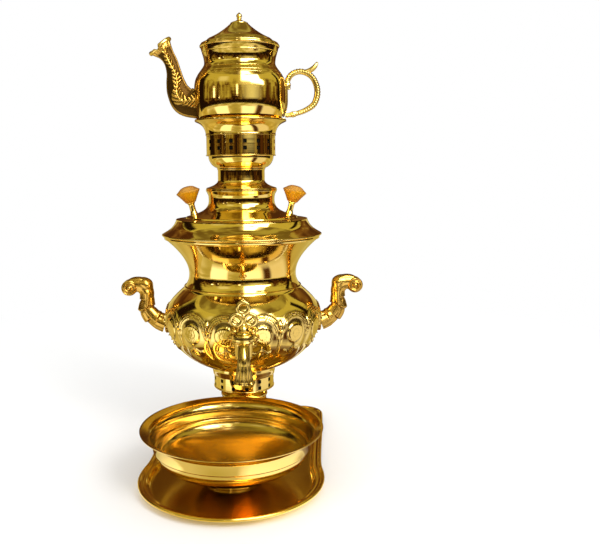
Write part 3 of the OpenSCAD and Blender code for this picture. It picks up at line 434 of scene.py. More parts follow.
def with_patina_and_shade(made, values):
    """Stores the share of dark brown at each vertex: patina in hollows, and painted shade on the pieces
    darkened for it.
    """
    layer = made.data.attributes.new("recess", "FLOAT", "POINT")
    layer.data.foreach_set("value", np.asarray(values, np.float32))


polished = brass("spun brass", 0.06, spin=0.012, wave=0.50)
plain_cast = brass("cast brass", 0.16, grain=0.05, wave=0.25)
turned = brass("turned brass", 0.14, spin=0.02)
smoked = brass("smoked brass", 0.38, grain=0.04, brown=0.9)


def plain(name, colour, rough, metal):
    """An unpolished material with a mottled tone."""
    paint, mat = new_kit(name)
    cloud = mat.node("TexNoise", None, {"Vector": mat.place(), "Scale": 60.0, "Detail": 4.0})
    tone = mat.node("MapRange", None, [cloud, 0.3, 0.7, 0.0, 0.7])
    mat.finish(mat.node("BsdfPrincipled", None, {
        "Base Color": mat.mix(tone, (*colour, 1), (*(0.45 * v for v in colour), 1)), "Metallic": metal,
        "Roughness": rough, "Specular IOR Level": 0.1,
        "Normal": mat.node("Bump", None, {"Height": cloud, "Distance": 0.15 * mm})}))
    return paint


sooty = plain("soot", (0.004, 0.003, 0.002), 0.9, 0.0)


def finished(piece, body, paint, slot, *replaced):
    """Gives a finished piece its material and body, and hides the nodes it stands for. slot is not used."""
    if paint is not None:
        piece.data.materials.clear()
        piece.data.materials.append(paint)
    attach(piece, body)
    if replaced:
        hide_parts(*replaced)

# ---------------------------------------------------------------- tray
# Pressed brass sheet under the whole set: wide behind, drawn in to a waist and round in front,
# with a sloping flange, a hollow groove and a rolled lip. It stands turned a little.

TRAY_TURN = math.radians(-5.4)
TRAY_WELL_SHADE = 0.40  # share of dark brown painted as shade on the tray's well
RIM_W, RIM_H = 16, 10
SHEET = 1.2
HALF_W, TRAY_BACK, CORNER_R = 109.5, 75, 30
WAIST, WAIST_OUT = 105, 132
FRONT_R, FRONT_OUT = 108, 170.5
FLANGE_X, FLANGE_Z = -0.56 * RIM_W, 0.6 * RIM_H
LIP = 0.25 * RIM_W


def bend(a, b, ta, tb, n=20):
    """Smooth stretch from a to b; ta and tb are its handles as shares of the box between them."""
    a, b = np.array(a, float), np.array(b, float)
    d = b - a
    p, q = a + np.array(ta) * d, b - np.array(tb) * d
    t = np.linspace(0, 1, n + 1)[:, None]
    s = 1 - t
    return list(s**3 * a + 3 * s * s * t * p + 3 * s * t * t * q + t**3 * b)


def arc(centre, r, angles):
    """Points of an arc at the given angles in degrees."""
    return [np.array((centre[0] + r * math.cos(t), centre[1] + r * math.sin(t))) for t in np.radians(angles)]


def spread(points, gap):
    """The line without points that lie closer than gap."""
    kept = [np.array(points[0], float)]
    for p in points[1:]:
        if np.linalg.norm(np.array(p) - kept[-1]) > gap:
            kept.append(np.array(p, float))
    return kept


def beside(line, t):
    """The line moved to its left by t."""
    v = np.array(line, float)
    step = np.diff(v, axis=0)
    step /= np.linalg.norm(step, axis=1)[:, None]
    after, before = np.vstack([step, step[-1:]]), np.vstack([step[:1], step])
    na, nb = (np.stack([-way[:, 1], way[:, 0]], 1) for way in (after, before))
    share = np.maximum(0.4, 1 + (na * nb).sum(1))[:, None]
    return v + t * (na + nb) / share


def inner_side(line, t):
    """The line moved left by t, less what a tight corner would fold over."""
    v = np.array(line, float)
    a, d = v[:-1], np.diff(v, axis=0)
    kept = []
    for p in beside(line, t):
        share = np.clip(((p - a) * d).sum(1) / (d * d).sum(1), 0, 1)[:, None]
        if np.linalg.norm(p - a - share * d, axis=1).min() > 0.93 * abs(t):
            kept.append(p)
    return kept


def tidy(made, sharp=36, weld=1e-6):
    """Merged doubles, outward normals, smooth faces and crisp corners."""
    body = bmesh.new()
    body.from_mesh(made.data)
    bmesh.ops.remove_doubles(body, verts=body.verts, dist=weld)
    bmesh.ops.dissolve_degenerate(body, edges=body.edges, dist=1e-7)
    bmesh.ops.recalc_face_normals(body, faces=body.faces)
    body.to_mesh(made.data)
    body.free()
    made.data.shade_smooth()
    made.data.set_sharp_from_angle(angle=math.radians(sharp))


def mesh_piece(name, points, faces, sharp=36, recess=None):
    """A finished mesh from points in millimetres, with the share of dark brown at each: patina, and on some
    pieces painted shade.
    """
    made = new_object(name, points, faces)
    if recess is not None:
        with_patina_and_shade(made, recess)
    tidy(made, sharp)
    return made


def tube_faces(rows, around, closed=False, capped=False):
    """Faces between rings of points; closed joins the last ring to the first, capped fills both ends."""
    faces = []
    for i in range(rows if closed else rows - 1):
        j = (i + 1) % rows
        for k in range(around):
            m = (k + 1) % around
            faces.append((i * around + k, i * around + m, j * around + m, j * around + k))
    if capped:
        faces.append(tuple(range(around)))
        faces.append(tuple((rows - 1) * around + k for k in reversed(range(around))))
    return faces


corner = (HALF_W - CORNER_R, TRAY_BACK - CORNER_R)
half_edge = spread(
    [(share * corner[0], TRAY_BACK) for share in (0, 0.25, 0.5, 0.75)]
    + arc(corner, CORNER_R, np.linspace(90, 0, 21))
    + bend((HALF_W, corner[1]), (WAIST, -WAIST_OUT), (0, 0.4), (0, 0.3), 30)
    + bend((WAIST, -WAIST_OUT), (FRONT_R, -FRONT_OUT), (0, 0.3), (0, 0.45), 14)
    + arc((0, -FRONT_OUT), FRONT_R, np.linspace(0, -90, 61)), 0.2)
tray_edge = np.array(half_edge[::-1] + [np.array((-x, y)) for x, y in half_edge[1:-1]])
under = spread(
    [(-RIM_W - SHEET - 2, 0), (-RIM_W - SHEET, 0)]
    + bend((-RIM_W, 0), (FLANGE_X, FLANGE_Z), (0.5, 0), (0.3, 0.3), 10)
    + bend((FLANGE_X + 0.8, FLANGE_Z + 0.1), (-LIP - 0.6, FLANGE_Z + 1.2), (0.5, 0), (0.3, 0.4), 8), 0.05)
roll = arc((-LIP / 2, RIM_H - LIP / 2), LIP / 2, np.arange(-110, 171, 20))
section = np.array(under + roll + inner_side(under, SHEET)[::-1])
ahead_edge = np.roll(tray_edge, -1, axis=0) - np.roll(tray_edge, 1, axis=0)
ahead_edge /= np.linalg.norm(ahead_edge, axis=1)[:, None]
out_edge = np.stack([ahead_edge[:, 1], -ahead_edge[:, 0]], 1)
tray = mesh_piece("tray_sheet", [(px, py, z) for x, z in section for px, py in tray_edge + x * out_edge],
                  tube_faces(len(section), len(tray_edge), capped=True))
tray.data.transform(Matrix.Rotation(TRAY_TURN, 4, "Z"))
# Painted shade: the tray's well, under the bowl and the urn, is darkened with the dark brown.
with_patina_and_shade(tray, np.repeat([TRAY_WELL_SHADE if x < 1 - RIM_W else 0.0 for x, _ in section], len(tray_edge)))
# The tray's brass is a paler copy of the brass: partly its own tone, partly painted light on the flange.
tray_brass = brass("tray brass", 0.12, wave=0.35, grain=0.01,
                   pale=(0.98, 0.68, 0.16, 1), deep=(0.88, 0.52, 0.08, 1))
finished(tray, "tray", tray_brass, "polished_brass", "tray")

# ---------------------------------------------------------------- drip bowl
# Spun bowl that catches the tap's drips: foot ring, full lower wall with turned steps in its
# floor, a moulded band, and a flared lip.

BAND_R, BAND_Z, FOOT_R = 92, 42, 35
FLOOR_Z = 2.4
BOWL_INSIDE_SHADE = 0.30  # share of dark brown painted as shade over the bowl's inside
BOWL_FLOOR_SHADE = 0.35  # more painted shade towards the bottom of the inside


def box_mm(node):
    """Lower and upper corner of a node in millimetres."""
    return [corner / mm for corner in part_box(node)]


def eased(line, r, sharp=22):
    """The line with its corners rounded to about r."""
    v = [np.array(p, float) for p in line]
    out = [v[0]]
    for before, here, after in zip(v, v[1:], v[2:]):
        one, two = here - before, after - here
        l1, l2 = np.linalg.norm(one), np.linalg.norm(two)
        angle = math.degrees(math.acos(max(-1, min(1, float(one @ two) / (l1 * l2)))))
        if angle < sharp:
            out.append(here)
            continue
        p, q = here - one / l1 * min(r, 0.45 * l1), here + two / l2 * min(r, 0.45 * l2)
        for t in (0, 0.25, 0.5, 0.75, 1):
            out.append((1 - t) ** 2 * p + 2 * t * (1 - t) * here + t * t * q)
    out.append(v[-1])
    return spread(out, 0.01)


def revolved(name, loop, sides=160, closed=True):
    """A section of radii and heights turned round the axis; one that isn't closed ends on it."""
    a = np.linspace(0, 2 * math.pi, sides, endpoint=False)
    points = [(r * c, r * s, z) for r, z in loop for c, s in zip(np.cos(a), np.sin(a))]
    return mesh_piece(name, points, tube_faces(len(loop), sides, closed))


def lathe(name, outline, sides=160):
    """Spun sheet: outline is its outer side, from bottom to top, and the wall lies inside it."""
    side = eased(spread(outline, 0.02), 0.35)
    return revolved(name, side + inner_side(side, SHEET)[::-1], sides)


def moved(piece, x, y, z):
    piece.data.transform(Matrix.Translation(Vector((x, y, z)) * mm))


bowl_base = box_mm("drip_bowl")[0].z
bowl_low, bowl_high = box_mm("bowl_lip")
bowl_r = (bowl_high.x - bowl_low.x) / 2
bowl_centre = ((bowl_low.x + bowl_high.x) / 2, (bowl_low.y + bowl_high.y) / 2)
bowl_h = bowl_high.z - bowl_base
bowl = lathe("bowl_shell", (
    [(0, FLOOR_Z), (14, FLOOR_Z), (14.6, FLOOR_Z + 0.6), (24, FLOOR_Z + 0.6), (24.6, FLOOR_Z)]
    + bend((FOOT_R - 1, FLOOR_Z), (BAND_R - 3.5, BAND_Z - 3), (0.5, 0.34), (0, 0.4), 40)
    + [(BAND_R - 3.5, BAND_Z - 1.6), (BAND_R - 1, BAND_Z - 0.6), (BAND_R, BAND_Z + 0.6)]
    + bend((BAND_R, BAND_Z + 2), (bowl_r - 1.6, bowl_h - 1.2), (0, 0.8), (0.6, 0.2), 24)
    + [(bowl_r, bowl_h - 0.8), (bowl_r, bowl_h)]), 200)
bowl_top = max(v.co.z for v in bowl.data.vertices)
# Painted shade inside the bowl, darker towards its floor.
browned = []
for v in bowl.data.vertices:
    inward = v.normal.x * v.co.x + v.normal.y * v.co.y < -0.02 * math.hypot(v.co.x, v.co.y)
    inside = v.normal.z > 0.6 or inward
    browned.append(BOWL_INSIDE_SHADE + BOWL_FLOOR_SHADE * (1 - v.co.z / bowl_top) ** 2 if inside else 0.0)
with_patina_and_shade(bowl, browned)
bowl_foot = revolved("bowl_foot", [(FOOT_R - 3, 0), (FOOT_R - 0.5, 0), (FOOT_R, 0.6), (FOOT_R, 2.6),
                                   (FOOT_R - 3, 2.6)])
bowl_brass = brass("bowl brass", 0.05, spin=0.012, wave=0.35, centre=bowl_centre,
                   pale=(0.88, 0.64, 0.20, 1), deep=(0.78, 0.50, 0.11, 1))
for piece, stands_for in ((bowl, ("drip_bowl", "bowl_lip")), (bowl_foot, ("drip_bowl",))):
    moved(piece, *bowl_centre, bowl_base)
    finished(piece, "drip_bowl", bowl_brass, "polished_brass", *stands_for)

# ---------------------------------------------------------------- foot
# Four cast button feet under a stepped square plinth, and a spun pedestal that narrows to the neck.

BUTTON_R = 8
PLINTH_HOLE = 26.5
NECK_R = 30.5
low, high = box_mm("feet")
foot_h = high.z - low.z
foot_reach = high.x - BUTTON_R
button_side = eased(spread(
    [(BUTTON_R * 0.55, 0)]
    + bend((BUTTON_R * 0.6, 0), (BUTTON_R, foot_h * 0.45), (0.9, 0.1), (0, 0.6), 10)
    + bend((BUTTON_R, foot_h * 0.5), (BUTTON_R * 0.55, foot_h * 0.85), (0, 0.5), (0.6, 0), 10)
    + [(BUTTON_R * 0.8, foot_h * 0.88), (BUTTON_R * 0.8, foot_h)], 0.02), 0.3)
for i, (side_x, side_y) in enumerate([(-1, -1), (1, -1), (1, 1), (-1, 1)]):
    loop = [(0, button_side[0][1])] + button_side + [(0, button_side[-1][1])]
    button = revolved(f"foot_{i}", loop, 40, closed=False)
    moved(button, side_x * foot_reach, side_y * foot_reach, low.z)
    finished(button, "urn", plain_cast, "cast_brass", "feet")


def square_plate(name, width, cut, low, high, hole, edge_round=0.5):
    """A square plate with hollow corners, round edges and a round hole."""
    half = width / 2
    outline = []
    for quarter in range(4):
        turn = Matrix.Rotation(math.radians(90 * quarter), 2)
        for a in np.radians(np.linspace(180, 90, 9)):
            outline.append(turn @ Vector((half + cut * math.cos(a), -half + cut * math.sin(a))))
    outline = np.array(outline)
    a = np.arctan2(outline[:, 1], outline[:, 0])
    inner = np.stack([hole * np.cos(a), hole * np.sin(a)], 1)
    shrunk = outline * (1 - edge_round / half)
    rings = [(inner, low), (outline, low), (outline, high - edge_round), (shrunk, high), (inner, high)]
    points = [(x, y, z) for ring, z in rings for x, y in ring]
    return mesh_piece(name, points, tube_faces(len(rings), len(outline), closed=True), 30)


low, high = box_mm("plinth")
plinth_mid = (low.z + high.z) / 2
plinth_w = high.x - low.x
for name, width, cut, bottom, top in (("plinth_lower", plinth_w, 4, low.z, plinth_mid),
                                      ("plinth_upper", plinth_w - 10, 5, plinth_mid, high.z)):
    plate = square_plate(name, width, cut, bottom, top, PLINTH_HOLE)
    finished(plate, "urn", polished, "polished_brass", "plinth")

low, high = box_mm("pedestal")
pedestal = lathe("pedestal_shell", (
    [(NECK_R - 3, low.z), (high.x, low.z), (high.x, low.z + 2)]
    + bend((high.x - 1.5, low.z + 3), (NECK_R, high.z - 6), (0.75, 0.15), (0.05, 0.5), 24)
    + [(NECK_R, high.z - 3), (NECK_R + 1.5, high.z - 2.5), (NECK_R + 1.5, high.z), (NECK_R - 3, high.z)]))
finished(pedestal, "urn", polished, "polished_brass", "pedestal")

# ---------------------------------------------------------------- fire ring
# Spun collar round the foot of the fire tube. Two rows of square holes are punched through its
# wall for the draught; one panel with its two holes is made, and copied round.

HOLE, HOLE_PITCH = 4.8, 8.6
RING_R, RING_H, RING_FOOT = 41, 18, 9.5
COLLAR_R = RING_R + 2.6


def copies_round():
    """Geometry Nodes tree that sets copies of a mesh round the Z axis and welds them together."""
    tree = bpy.data.node_groups.new("copies round", "GeometryNodeTree")
    tree.interface.new_socket("Geometry", in_out="OUTPUT", socket_type="NodeSocketGeometry")
    for label, kind in (("Geometry", "Geometry"), ("Copies", "Int"), ("First Angle", "Float"),
                        ("Weld", "Float"), ("Material", "Material")):
        tree.interface.new_socket(label, in_out="INPUT", socket_type="NodeSocket" + kind)

    def add(kind, sockets, **settings):
        made = tree.nodes.new(kind)
        for key, value in settings.items():
            setattr(made, key, value)
        for key, value in sockets.items():
            if isinstance(value, bpy.types.NodeSocket):
                tree.links.new(value, made.inputs[key])
            else:
                made.inputs[key].default_value = value
        return made.outputs[0] if made.outputs else None

    given = tree.nodes.new("NodeGroupInput").outputs
    row = add("GeometryNodeMeshLine", {"Count": given["Copies"], "Offset": (0, 0, 0)})
    pitch = add("ShaderNodeMath", {0: 2 * math.pi, 1: given["Copies"]}, operation="DIVIDE")
    index = add("GeometryNodeInputIndex", {})
    angle = add("ShaderNodeMath", {0: index, 1: pitch, 2: given["First Angle"]}, operation="MULTIPLY_ADD")
    turn = add("FunctionNodeEulerToRotation", {0: add("ShaderNodeCombineXYZ", {"Z": angle})})
    placed = add("GeometryNodeInstanceOnPoints",
                 {"Points": row, "Instance": given["Geometry"], "Rotation": turn})
    real = add("GeometryNodeRealizeInstances", {0: placed})
    welded = add("GeometryNodeMergeByDistance", {"Geometry": real, "Distance": given["Weld"]})
    painted = add("GeometryNodeSetMaterial", {"Geometry": welded, "Material": given["Material"]})
    add("NodeGroupOutput", {0: painted})
    return tree


ROUND = copies_round()


def set_round(panel, count, first, paint, weld=2e-5, sharp=36):
    """Copies panel round the axis, from the bearing first (degrees from the front), as one mesh."""
    modifier = panel.modifiers.new("copies", "NODES")
    modifier.node_group = ROUND
    values = {"Copies": count, "First Angle": math.radians(first), "Weld": weld, "Material": paint}
    for item in ROUND.interface.items_tree:
        if item.in_out == "INPUT" and item.name in values:
            modifier[item.identifier] = values[item.name]
    bpy.context.view_layer.update()
    mesh = bpy.data.meshes.new_from_object(panel.evaluated_get(bpy.context.evaluated_depsgraph_get()))
    panel.modifiers.clear()
    panel.data = mesh
    tidy(panel, sharp, weld)


def pierced_wall(name, r, low, high, middle, count, first, body, node):
    """Plain drum with two rows of square holes about the height middle, and soot on its inner side."""
    half, hole = math.pi / count, HOLE / 2 / r
    columns = np.concatenate([np.linspace(-half, -hole, 5), [0], np.linspace(hole, half, 5)])
    rows = [middle + side * HOLE_PITCH / 2 + edge * HOLE / 2 for side in (-1, 1) for edge in (-1, 1)]
    heights = [low] + rows + [high]
    n, m = len(columns), len(heights)
    points = [(radius * math.sin(a), -radius * math.cos(a), z) for radius in (r, r - SHEET) for z in heights
              for a in columns]

    def open_cell(i, j):
        return i in (1, 3) and abs((columns[j] + columns[j + 1]) / 2) < hole

    faces = []
    for i in range(m - 1):
        for j in range(n - 1):
            if open_cell(i, j):
                continue
            a, b, c, d = i * n + j, i * n + j + 1, (i + 1) * n + j + 1, (i + 1) * n + j
            faces += [(a, b, c, d), (a + m * n, d + m * n, c + m * n, b + m * n)]
            for p, q, k, l in ((a, b, i - 1, j), (b, c, i, j + 1), (c, d, i + 1, j), (d, a, i, j - 1)):
                if k < 0 or k > m - 2 or (0 <= l < n - 1 and open_cell(k, l)):
                    faces.append((p, p + m * n, q + m * n, q))
    drum = new_object(name, points, faces)
    set_round(drum, count, first, polished)
    finished(drum, body, None, "polished_brass", node)
    soot = revolved(node + "_soot", [(r - 2.2, low), (r - 1.9, low), (r - 1.9, high), (r - 2.2, high)], 96)
    finished(soot, body, sooty, "polished_brass", node)


low, high = box_mm("fire_ring")
ring_low = low.z + RING_FOOT
ring_high = ring_low + RING_H
wall_low = ring_low + 2.4
shoulder = lathe("fire_ring_shoulder", (
    [(NECK_R - 4, low.z), (NECK_R, low.z)]
    + bend((NECK_R, low.z + 1.5), (RING_R, ring_low), (0.1, 0.55), (0.7, 0.1), 14)
    + [(RING_R + 0.8, ring_low + 0.6), (RING_R + 0.8, ring_low + 1.8), (RING_R, wall_low)]))
finished(shoulder, "urn", polished, "polished_brass", "fire_ring")
pierced_wall("fire_ring_drum", RING_R, wall_low, ring_high, (ring_low + ring_high) / 2 + 1, 14, 4.7,
             "urn", "fire_ring")
collar = lathe("fire_ring_collar", (
    [(RING_R, ring_high), (RING_R + 1.2, ring_high + 0.8)]
    + bend((RING_R + 1.4, ring_high + 2), (COLLAR_R, high.z - 3), (0.2, 0.3), (0.2, 0.3), 8)
    + [(COLLAR_R, high.z)]))
finished(collar, "urn", polished, "polished_brass", "fire_ring")

# ---------------------------------------------------------------- urn
# The water body, spun from one sheet: belly, shoulder bead, waist and flared mouth. The belly
# is chased from within: a ring of lobes, each under a triple arch, with an engraved medallion,
# stems with buds between them and sprigs below.

BELLY_R, SHOULDER_R, WAIST_R, RIM_R = 105, 78.5, 72.2, 104
TUBE_R = 30
LOBES = 14
RELIEF = 1.35
FINE, COARSE = 72, 12  # columns of a lobe, in its chased part and elsewhere
CHASED_BELOW, CHASED_ABOVE = 37, 27

urn_low = box_mm("urn")[0]
rim_z = box_mm("urn_mouth")[1].z
belly_z = urn_low.z + 71
shoulder_z = belly_z + 40
waist_z = shoulder_z + 18
medal_z = belly_z - 8
lobe_w = 2 * math.pi * BELLY_R / LOBES


def bump(x, width):
    """A smooth bump, 1 at 0 and gone beyond width."""
    return np.clip(1 - (x / width) ** 2, 0, None) ** 2


def segment(u, v, a, b):
    """Distance from the segment a-b, and the share along it."""
    a, b = np.array(a), np.array(b)
    d = b - a
    t = np.clip(((u - a[0]) * d[0] + (v - a[1]) * d[1]) / (d @ d), 0, 1)
    return np.hypot(u - a[0] - t * d[0], v - a[1] - t * d[1]), t


def share(x):
    """x kept between 0 and 1."""
    return np.clip(x, 0, 1)


def chasing(u, v):
    """Height of the relief at u across and v above the medallion's centre."""
    half = lobe_w / 2
    height = np.zeros_like(u)
    # lobe: full in the middle, creased where two lobes meet
    lobe = np.sqrt(share(1 - (np.abs(u) / half) ** 2.2))
    height += 1.5 * (lobe - 0.6) * share((v + 40) / 16) * share((12 - v) / 16)
    # three raised ribs of the arch
    arch = np.hypot(u / half, (v - 3) / 21.5)
    over = share((v - 1.5) / 3)
    for ring in (1.02, 0.90, 0.78):
        height += 0.85 * bump((arch - ring) * 20, 1.25) * over
    height += 0.45 * bump((arch - 0.9) * 20, 5.5) * over
    # medallion: raised disc with a bead, two rings of petals and a boss
    r = np.hypot(u, v)
    a = np.arctan2(v, u)
    disc = share((12.9 - r) / 0.7)
    height = height * (1 - 0.7 * disc) + 1.15 * disc
    petals = 0.24 * np.abs(np.sin(a * 9 + r * 0.25)) ** 0.6 * share((11.4 - r) / 1.5) * share((r - 5.0) / 1.2)
    inner = 0.22 * np.abs(np.sin(a * 4 - r * 0.5)) ** 0.6 * share((5.2 - r) / 1.0)
    height += disc * (petals + inner)
    # stem with a bud and two small leaves between two lobes
    side = half - np.abs(u)
    height += 1.15 * bump(side, 1.5) * share((v + 31) / 6) * share((9 - v) / 2)
    for high, across, wide, up, tall in ((1.9, 0, 2.5, 13, 5.2), (1.3, 0, 2.2, 4.5, 2.2),
                                         (0.9, 3.0 + 0.25 * (v + 2), 1.5, -2, 5.0)):
        height += high * np.sqrt(share(1 - ((side - across) / wide) ** 2 - ((v - up) / tall) ** 2))
    # sprig below the medallion
    for first, last, wide, high in (
            ((0, -13), (0, -18.5), 1.1, 0.9), ((0, -18.5), (8.5, -23.5), 1.2, 0.9),
            ((8.5, -23.5), (13.5, -22.0), 1.5, 1.0), ((0, -18.5), (2.5, -29), 1.9, 1.0)):
        gap, t = segment(np.abs(u), v, first, last)
        height += high * bump(gap, wide * (1 - 0.3 * t))
    return height


def urn_outline():
    """Outer line of the urn; each point has the number of columns that its ring takes a lobe."""
    foot = [(TUBE_R, urn_low.z), (COLLAR_R + 1, urn_low.z)]
    low_half = bend((COLLAR_R + 1.6, urn_low.z + 0.4), (BELLY_R, belly_z), (0.593, 0.183), (0, 0.451), 240)
    high_half = bend((BELLY_R, belly_z), (SHOULDER_R, shoulder_z), (0, 0.45), (0.547, 0.325), 160)
    rows = [(p, COARSE) for p in foot]
    last = np.array(foot[-1])
    for p in spread(low_half + high_half[1:], 0.05):
        fine = -CHASED_BELOW < p[1] - medal_z < CHASED_ABOVE
        if np.linalg.norm(p - last) > (1.02 if fine else 2.2):
            rows.append((p, FINE if fine else COARSE))
            last = p
    bead = [(SHOULDER_R + x, shoulder_z + z) for x, z in (
        (0.6, 0.3), (1.0, 0.9), (0.6, 1.6), (-0.6, 1.9), (-1.1, 2.2))]
    top = (bend((SHOULDER_R - 1.2, shoulder_z + 2.4), (WAIST_R, waist_z), (0.66, 0.294), (0, 0.41), 12)
           + bend((WAIST_R, waist_z), (RIM_R - 2.2, rim_z - 4.5), (0, 0.333), (0.604, 0.333), 30)
           + [(RIM_R - 0.4, rim_z - 4), (RIM_R, rim_z - 3.4), (RIM_R, rim_z - 1), (RIM_R - 0.3, rim_z - 0.3),
              (RIM_R - 1, rim_z)])
    return rows + [(p, COARSE) for p in spread(bead + top, 0.1)]


def urn_sector():
    """One fourteenth of the urn, with its relief, inner wall, land and floor."""
    outer = urn_outline()
    line = np.array([p for p, _ in outer])
    inner = [p for p in inner_side(spread(line, 1.5), SHEET) if p[1] < rim_z - 4.6]
    mouth = [(RIM_R - 5, rim_z), (RIM_R - 5, rim_z - 4.5)]
    rows = outer + [(p, COARSE) for p in mouth + inner[::-1]]
    outwards = line - beside(line, 1.0)
    points, faces, lifts, starts = [], [], [], []
    for i, (p, columns) in enumerate(rows):
        starts.append(len(points))
        a = np.linspace(-math.pi / LOBES, math.pi / LOBES, columns + 1)
        lift = np.zeros(columns + 1)
        if columns == FINE:
            v = np.full(columns + 1, p[1] - medal_z)
            edge = share((v + CHASED_BELOW) / 3) * share((CHASED_ABOVE - v) / 3)
            lift = RELIEF * chasing(a * BELLY_R, v) * edge
        out = outwards[i] if i < len(outer) else np.zeros(2)
        r, z = p[0] + lift * out[0], p[1] + lift * out[1]
        points += list(zip(r * np.sin(a), -r * np.cos(a), z))
        lifts.append(lift)
    for i, (_, m) in enumerate(rows):
        j = (i + 1) % len(rows)
        n = rows[j][1]
        s, t = starts[i], starts[j]
        ratio = max(m, n) // min(m, n)
        for k in range(min(m, n)):
            if m == n:
                faces.append((s + k, s + k + 1, t + k + 1, t + k))
            elif m < n:
                faces.append((s + k, s + k + 1) + tuple(t + (k + 1) * ratio - q for q in range(ratio + 1)))
            else:
                faces.append(tuple(s + k * ratio + q for q in range(ratio + 1)) + (t + k + 1, t + k))
    browned = hollow(np.array([lift[:-1] for lift in lifts if len(lift) == FINE + 1]), (3, 3), 0.55)
    browned = iter(np.concatenate([browned, browned[:, :1]], axis=1))
    old = np.concatenate([next(browned) if len(lift) == FINE + 1 else lift for lift in lifts])
    return points, faces, old


points, faces, old = urn_sector()
urn = new_object("urn_sheet", points, faces)
with_patina_and_shade(urn, old)
chased = brass("chased brass", 0.06, spin=0.008, wave=0.50)
set_round(urn, LOBES, 180.0 / LOBES, chased, weld=1e-5, sharp=50)
finished(urn, "urn", None, "chased_brass", "urn", "urn_shoulder", "urn_mouth")

# ---------------------------------------------------------------- lid
# Spun ring lid with a sloping edge, a raised disc and a concave neck whose lip carries the crown.
# A ring under its edge centres it in the urn's mouth.

STEP_R, DISC_R, LID_NECK_R, LIP_R = 88, 75, 44, 47.4
TUBE_TOP_R = 25
lid_r = box_mm("lid")[1].x
lip_z = box_mm("lid_neck")[1].z
step_z = rim_z + 22
disc_z = step_z + 3
neck_h = lip_z - disc_z
lid = lathe("lid_shell", (
    [(RIM_R - 7, rim_z), (lid_r - 1, rim_z), (lid_r, rim_z + 1), (lid_r, rim_z + 2.2), (lid_r - 1.4, rim_z + 3)]
    + bend((lid_r - 2, rim_z + 3.4), (STEP_R, step_z - 1.5), (0.55, 0.3), (0.2, 0.5), 20)
    + [(STEP_R, step_z), (DISC_R + 1.5, step_z + 0.6), (DISC_R, step_z + 1.2), (DISC_R - 0.8, disc_z)]
    + bend((DISC_R - 2, disc_z + 0.4), (LID_NECK_R, disc_z + neck_h * 0.6), (0.62, 0.22), (0, 0.6), 28)
    + bend((LID_NECK_R, disc_z + neck_h * 0.65), (LIP_R, lip_z - 2), (0, 0.5), (0.5, 0.3), 12)
    + [(LIP_R, lip_z), (TUBE_TOP_R + 5, lip_z)]), 200)
finished(lid, "lid", polished, "polished_brass", "lid", "lid_neck")
lid_ring = revolved("lid_ring", [(x, rim_z + z) for x, z in (
    (96.3, -5), (97.2, -5), (97.5, -4.6), (97.5, 0.6), (96.3, 0.6))])
finished(lid_ring, "lid", polished, "polished_brass", "lid")

# ---------------------------------------------------------------- crown
# Spun crown on the lid's lip: skirt, neck, cup, a pierced drum for the smoke, and a flared seat
# that the teapot stands in.

CROWN_NECK_R, DRUM_R = 31.2, 45.6
POT_BASE_R = 40
low, high = box_mm("crown_base")[0], box_mm("crown_cup")[1]
neck_z = low.z + 12
cup_z = neck_z + 15.5
crown_base = lathe("crown_base_shell", (
    [(LIP_R - 5, low.z), (LIP_R - 0.4, low.z), (LIP_R - 0.4, low.z + 1.6)]
    + bend((LIP_R - 2.4, low.z + 2.4), (CROWN_NECK_R, neck_z), (0.65, 0.25), (0, 0.35), 14)
    + [(CROWN_NECK_R, cup_z - 2), (CROWN_NECK_R + 1, cup_z - 1), (CROWN_NECK_R + 1, cup_z)]
    + bend((CROWN_NECK_R + 1, cup_z + 0.6), (DRUM_R - 2.4, high.z - 1.6), (0.55, 0.1), (0, 0.45), 20)
    + [(DRUM_R + 0.8, high.z - 1.2), (DRUM_R + 0.8, high.z), (DRUM_R - 3, high.z)]))
finished(crown_base, "crown", polished, "polished_brass", "crown_base", "crown_cup")

low, high = box_mm("crown_drum")
pierced_wall("crown_drum_wall", DRUM_R, low.z, high.z, (low.z + high.z) / 2, 16, 6.5, "crown", "crown_drum")

low, high = box_mm("crown_seat")
crown_seat = lathe("crown_seat_shell", (
    [(POT_BASE_R - 4, low.z), (DRUM_R + 0.8, low.z), (DRUM_R + 0.8, low.z + 1.6)]
    + bend((DRUM_R + 0.6, low.z + 2.4), (high.x - 2, high.z - 3.6), (0.1, 0.5), (0.65, 0.2), 20)
    + [(high.x, high.z - 2.6), (high.x, high.z - 0.8), (high.x - 0.8, high.z)]))
finished(crown_seat, "crown", polished, "polished_brass", "crown_seat")
seat_ring = revolved("seat_ring", [(x, low.z + z) for x, z in (
    (36, 0), (40, 0), (40, 2), (39.6, 2.4), (36, 2.4))], 120)
finished(seat_ring, "crown", polished, "polished_brass", "crown_seat")

# ---------------------------------------------------------------- teapot
# Spun body with a full belly, a neck with turned lines and a rolled lip, and a spun lid like a
# low tent with a domed step, which a ring centres in the neck.

POT_R, POT_NECK_R, POT_LIP_R = 60.2, 46.4, 52
POT_LID_R, DOME_R, CREST_R = 50.6, 41, 11.6
GROOVE_DEEP, GROOVE_HALF = 0.35, 0.45


def lined(outline, heights):
    """The outline with turned grooves at the given heights."""
    out = [np.array(p, float) for p in outline]
    for z in heights:
        for i, (p, q) in enumerate(zip(out, out[1:])):
            if p[1] < z <= q[1] and q[1] - p[1] > 1e-3:
                slope = (q[0] - p[0]) / (q[1] - p[1])
                r = p[0] + slope * (z - p[1])
                groove = [np.array((r - slope * GROOVE_HALF, z - GROOVE_HALF)), np.array((r - GROOVE_DEEP, z)),
                          np.array((r + slope * GROOVE_HALF, z + GROOVE_HALF))]
                out = ([a for a in out[:i + 1] if a[1] < z - GROOVE_HALF] + groove
                       + [a for a in out[i + 1:] if a[1] > z + GROOVE_HALF])
                break
    return out


